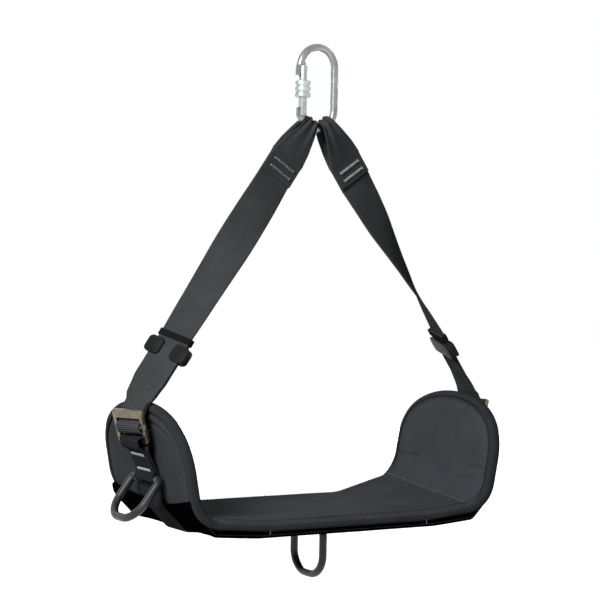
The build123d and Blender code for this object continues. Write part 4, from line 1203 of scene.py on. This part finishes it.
def knurled_sleeve():
    """Three rings with diamond-cut faces, two grooves between them, and a bore."""
    angle = np.linspace(0, 2 * pi, 120, endpoint=False)
    low, ring_l, groove_w = -55.5, 5.433, 1.6
    profile = [(5.12, low + 8), (7.9, low + 7.9), (7.9, low), (8.6, low)]
    for k in range(3):
        z0 = low + k * (ring_l + groove_w)
        for f in np.linspace(0, 1, 9):
            drop = 0.7 * max(0.0, 1 - min(f, 1 - f) / 0.12)
            profile.append((9.15 - drop, z0 + f * ring_l))
        if k < 2:
            profile += [(8.05, z0 + ring_l + 0.15), (8.05, z0 + ring_l + groove_w - 0.15)]
    profile += [(8.4, low + 19.5), (5.12, low + 19.5)]
    rings = []
    for r, z in profile:
        ridge = 0.0
        if r > 9.0:
            ridge = 0.16 * (np.abs(np.sin(angle * 20 + z * 1.3)) + np.abs(np.sin(angle * 20 - z * 1.3)) - 1.2)
        radius = r + ridge
        x, y = -20 + radius * np.cos(angle), radius * np.sin(angle)
        rings.append(np.stack((x, y, np.full(len(angle), z)), axis=1))
    return skin(rings, loop=True)


verts, faces = knurled_sleeve()
nodes = ["screw_sleeve"]
sleeve = make_piece("Screw_sleeve_knurled", verts, faces, SLEEVE_ZINC, "sleeve", None, nodes)
sleeve.data.set_sharp_from_angle(angle=radians(55))

# CAD nodes whose own shape is right get their real finish
own_shape = {name: PIN_STEEL for name in ("hinge_pin", "latch_pin", "gate_spring", "gate_plunger")}
own_shape["seat_board"] = BOARD_WOOD
own_shape.update({f"gear_loop_cord_{name}": CORD_BRAID for name in ("left", "right", "centre")})
for node, material in own_shape.items():
    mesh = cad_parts[node].data
    mesh.materials.clear()
    mesh.materials.append(material)
    smoothed(mesh)
    mesh.set_sharp_from_angle(angle=radians(40))


# Room: pale floor and backdrop, soft lamps, and the camera where the photograph was taken
def looked_at(tree):
    """1 for rays from the camera, from mirrors and through glass, which see plain white."""
    ray = add(tree, "ShaderNodeLightPath").outputs
    seen = add(tree, "ShaderNodeMath", {0: ray["Is Camera Ray"], 1: ray["Is Glossy Ray"]}, operation="MAXIMUM")
    return add(tree, "ShaderNodeMath", {0: seen, 1: ray["Is Transmission Ray"]}, operation="MAXIMUM")


def room_finish(name, code):
    """Pale matt surface that shows as plain white to the camera and in reflections, and keeps a soft shadow."""
    material, tree = new_finish(name)
    matt = add(tree, "ShaderNodeBsdfDiffuse", {"Color": srgb(code), "Roughness": 0.5})
    glow = add(tree, "ShaderNodeEmission", {"Color": (1, 1, 1, 1), "Strength": 0.95})
    both = add(tree, "ShaderNodeAddShader", {0: matt, 1: glow})
    mix = add(tree, "ShaderNodeMixShader", {0: looked_at(tree), 1: matt, 2: both})
    # Seen from below, the floor is clear
    under = add(tree, "ShaderNodeNewGeometry").outputs["Backfacing"]
    clear = add(tree, "ShaderNodeBsdfTransparent")
    sided = add(tree, "ShaderNodeMixShader", {0: under, 1: mix, 2: clear})
    add(tree, "ShaderNodeOutputMaterial", {"Surface": sided})
    return material


FLOOR_HALF, FLOOR_Z = 8, -0.72
floor_mesh = bpy.data.meshes.new("Studio_floor")
floor_corners = [(x * FLOOR_HALF, y * FLOOR_HALF, FLOOR_Z) for x, y in ((-1, -1), (1, -1), (1, 1), (-1, 1))]
floor_mesh.from_pydata(floor_corners, [], [(0, 1, 2, 3)])
floor_mesh.materials.append(room_finish("Studio floor pale", "#c4c4c2"))
floor = placed("Studio_floor", floor_mesh)

world = bpy.data.worlds.new("Studio")
bpy.context.scene.world = world
world.use_nodes = True
sky = world.node_tree
sky.nodes.clear()
soft = add(sky, "ShaderNodeBackground", {"Color": (1, 1, 1, 1), "Strength": 0.07})
white = add(sky, "ShaderNodeBackground", {"Color": (1, 1, 1, 1), "Strength": 1.0})
mixed = add(sky, "ShaderNodeMixShader", {0: looked_at(sky), 1: soft, 2: white})
add(sky, "ShaderNodeOutputWorld", {"Surface": mixed})


def lamp(name, place, target, size, power):
    """A soft square lamp aimed at a point."""
    light = bpy.data.lights.new(name, "AREA")
    light.shape = "SQUARE"
    light.size = size
    light.energy = power
    holder = placed(name, light)
    holder.location = place
    holder.rotation_euler = (Vector(target) - Vector(place)).to_track_quat("-Z", "Y").to_euler()


lamp("Key lamp", (-2.1, -1.15, 1.0), (0.05, 0, -0.35), 1.0, 72)
# Low lamp behind, so that the far side shows its finish from other angles
lamp("Back lamp", (1.5, 2.3, -0.05), (0, 0, -0.42), 1.2, 55)

# Camera: fitted to the photograph, a 120 mm lens on a 36 mm sensor
turn, pitch, roll = radians(31.3), radians(1.87), radians(-1.1)
forward = Vector((sin(turn) * cos(pitch), cos(turn) * cos(pitch), -sin(pitch)))
level = Vector((cos(turn), -sin(turn), 0))
below = forward.cross(level)
right = cos(roll) * level + sin(roll) * below
down_image = -sin(roll) * level + cos(roll) * below
camera_data = bpy.data.cameras.new("Photo camera")
camera_data.lens = 120
camera_data.sensor_width = 36
camera = placed("Photo camera", camera_data)
turned = Matrix((right, -down_image, -forward)).transposed()
camera.matrix_world = Matrix.Translation((-1.2590, -2.0403, -0.2191)) @ turned.to_4x4()
bpy.context.scene.camera = camera
bpy.context.scene.view_settings.view_transform = "Standard"
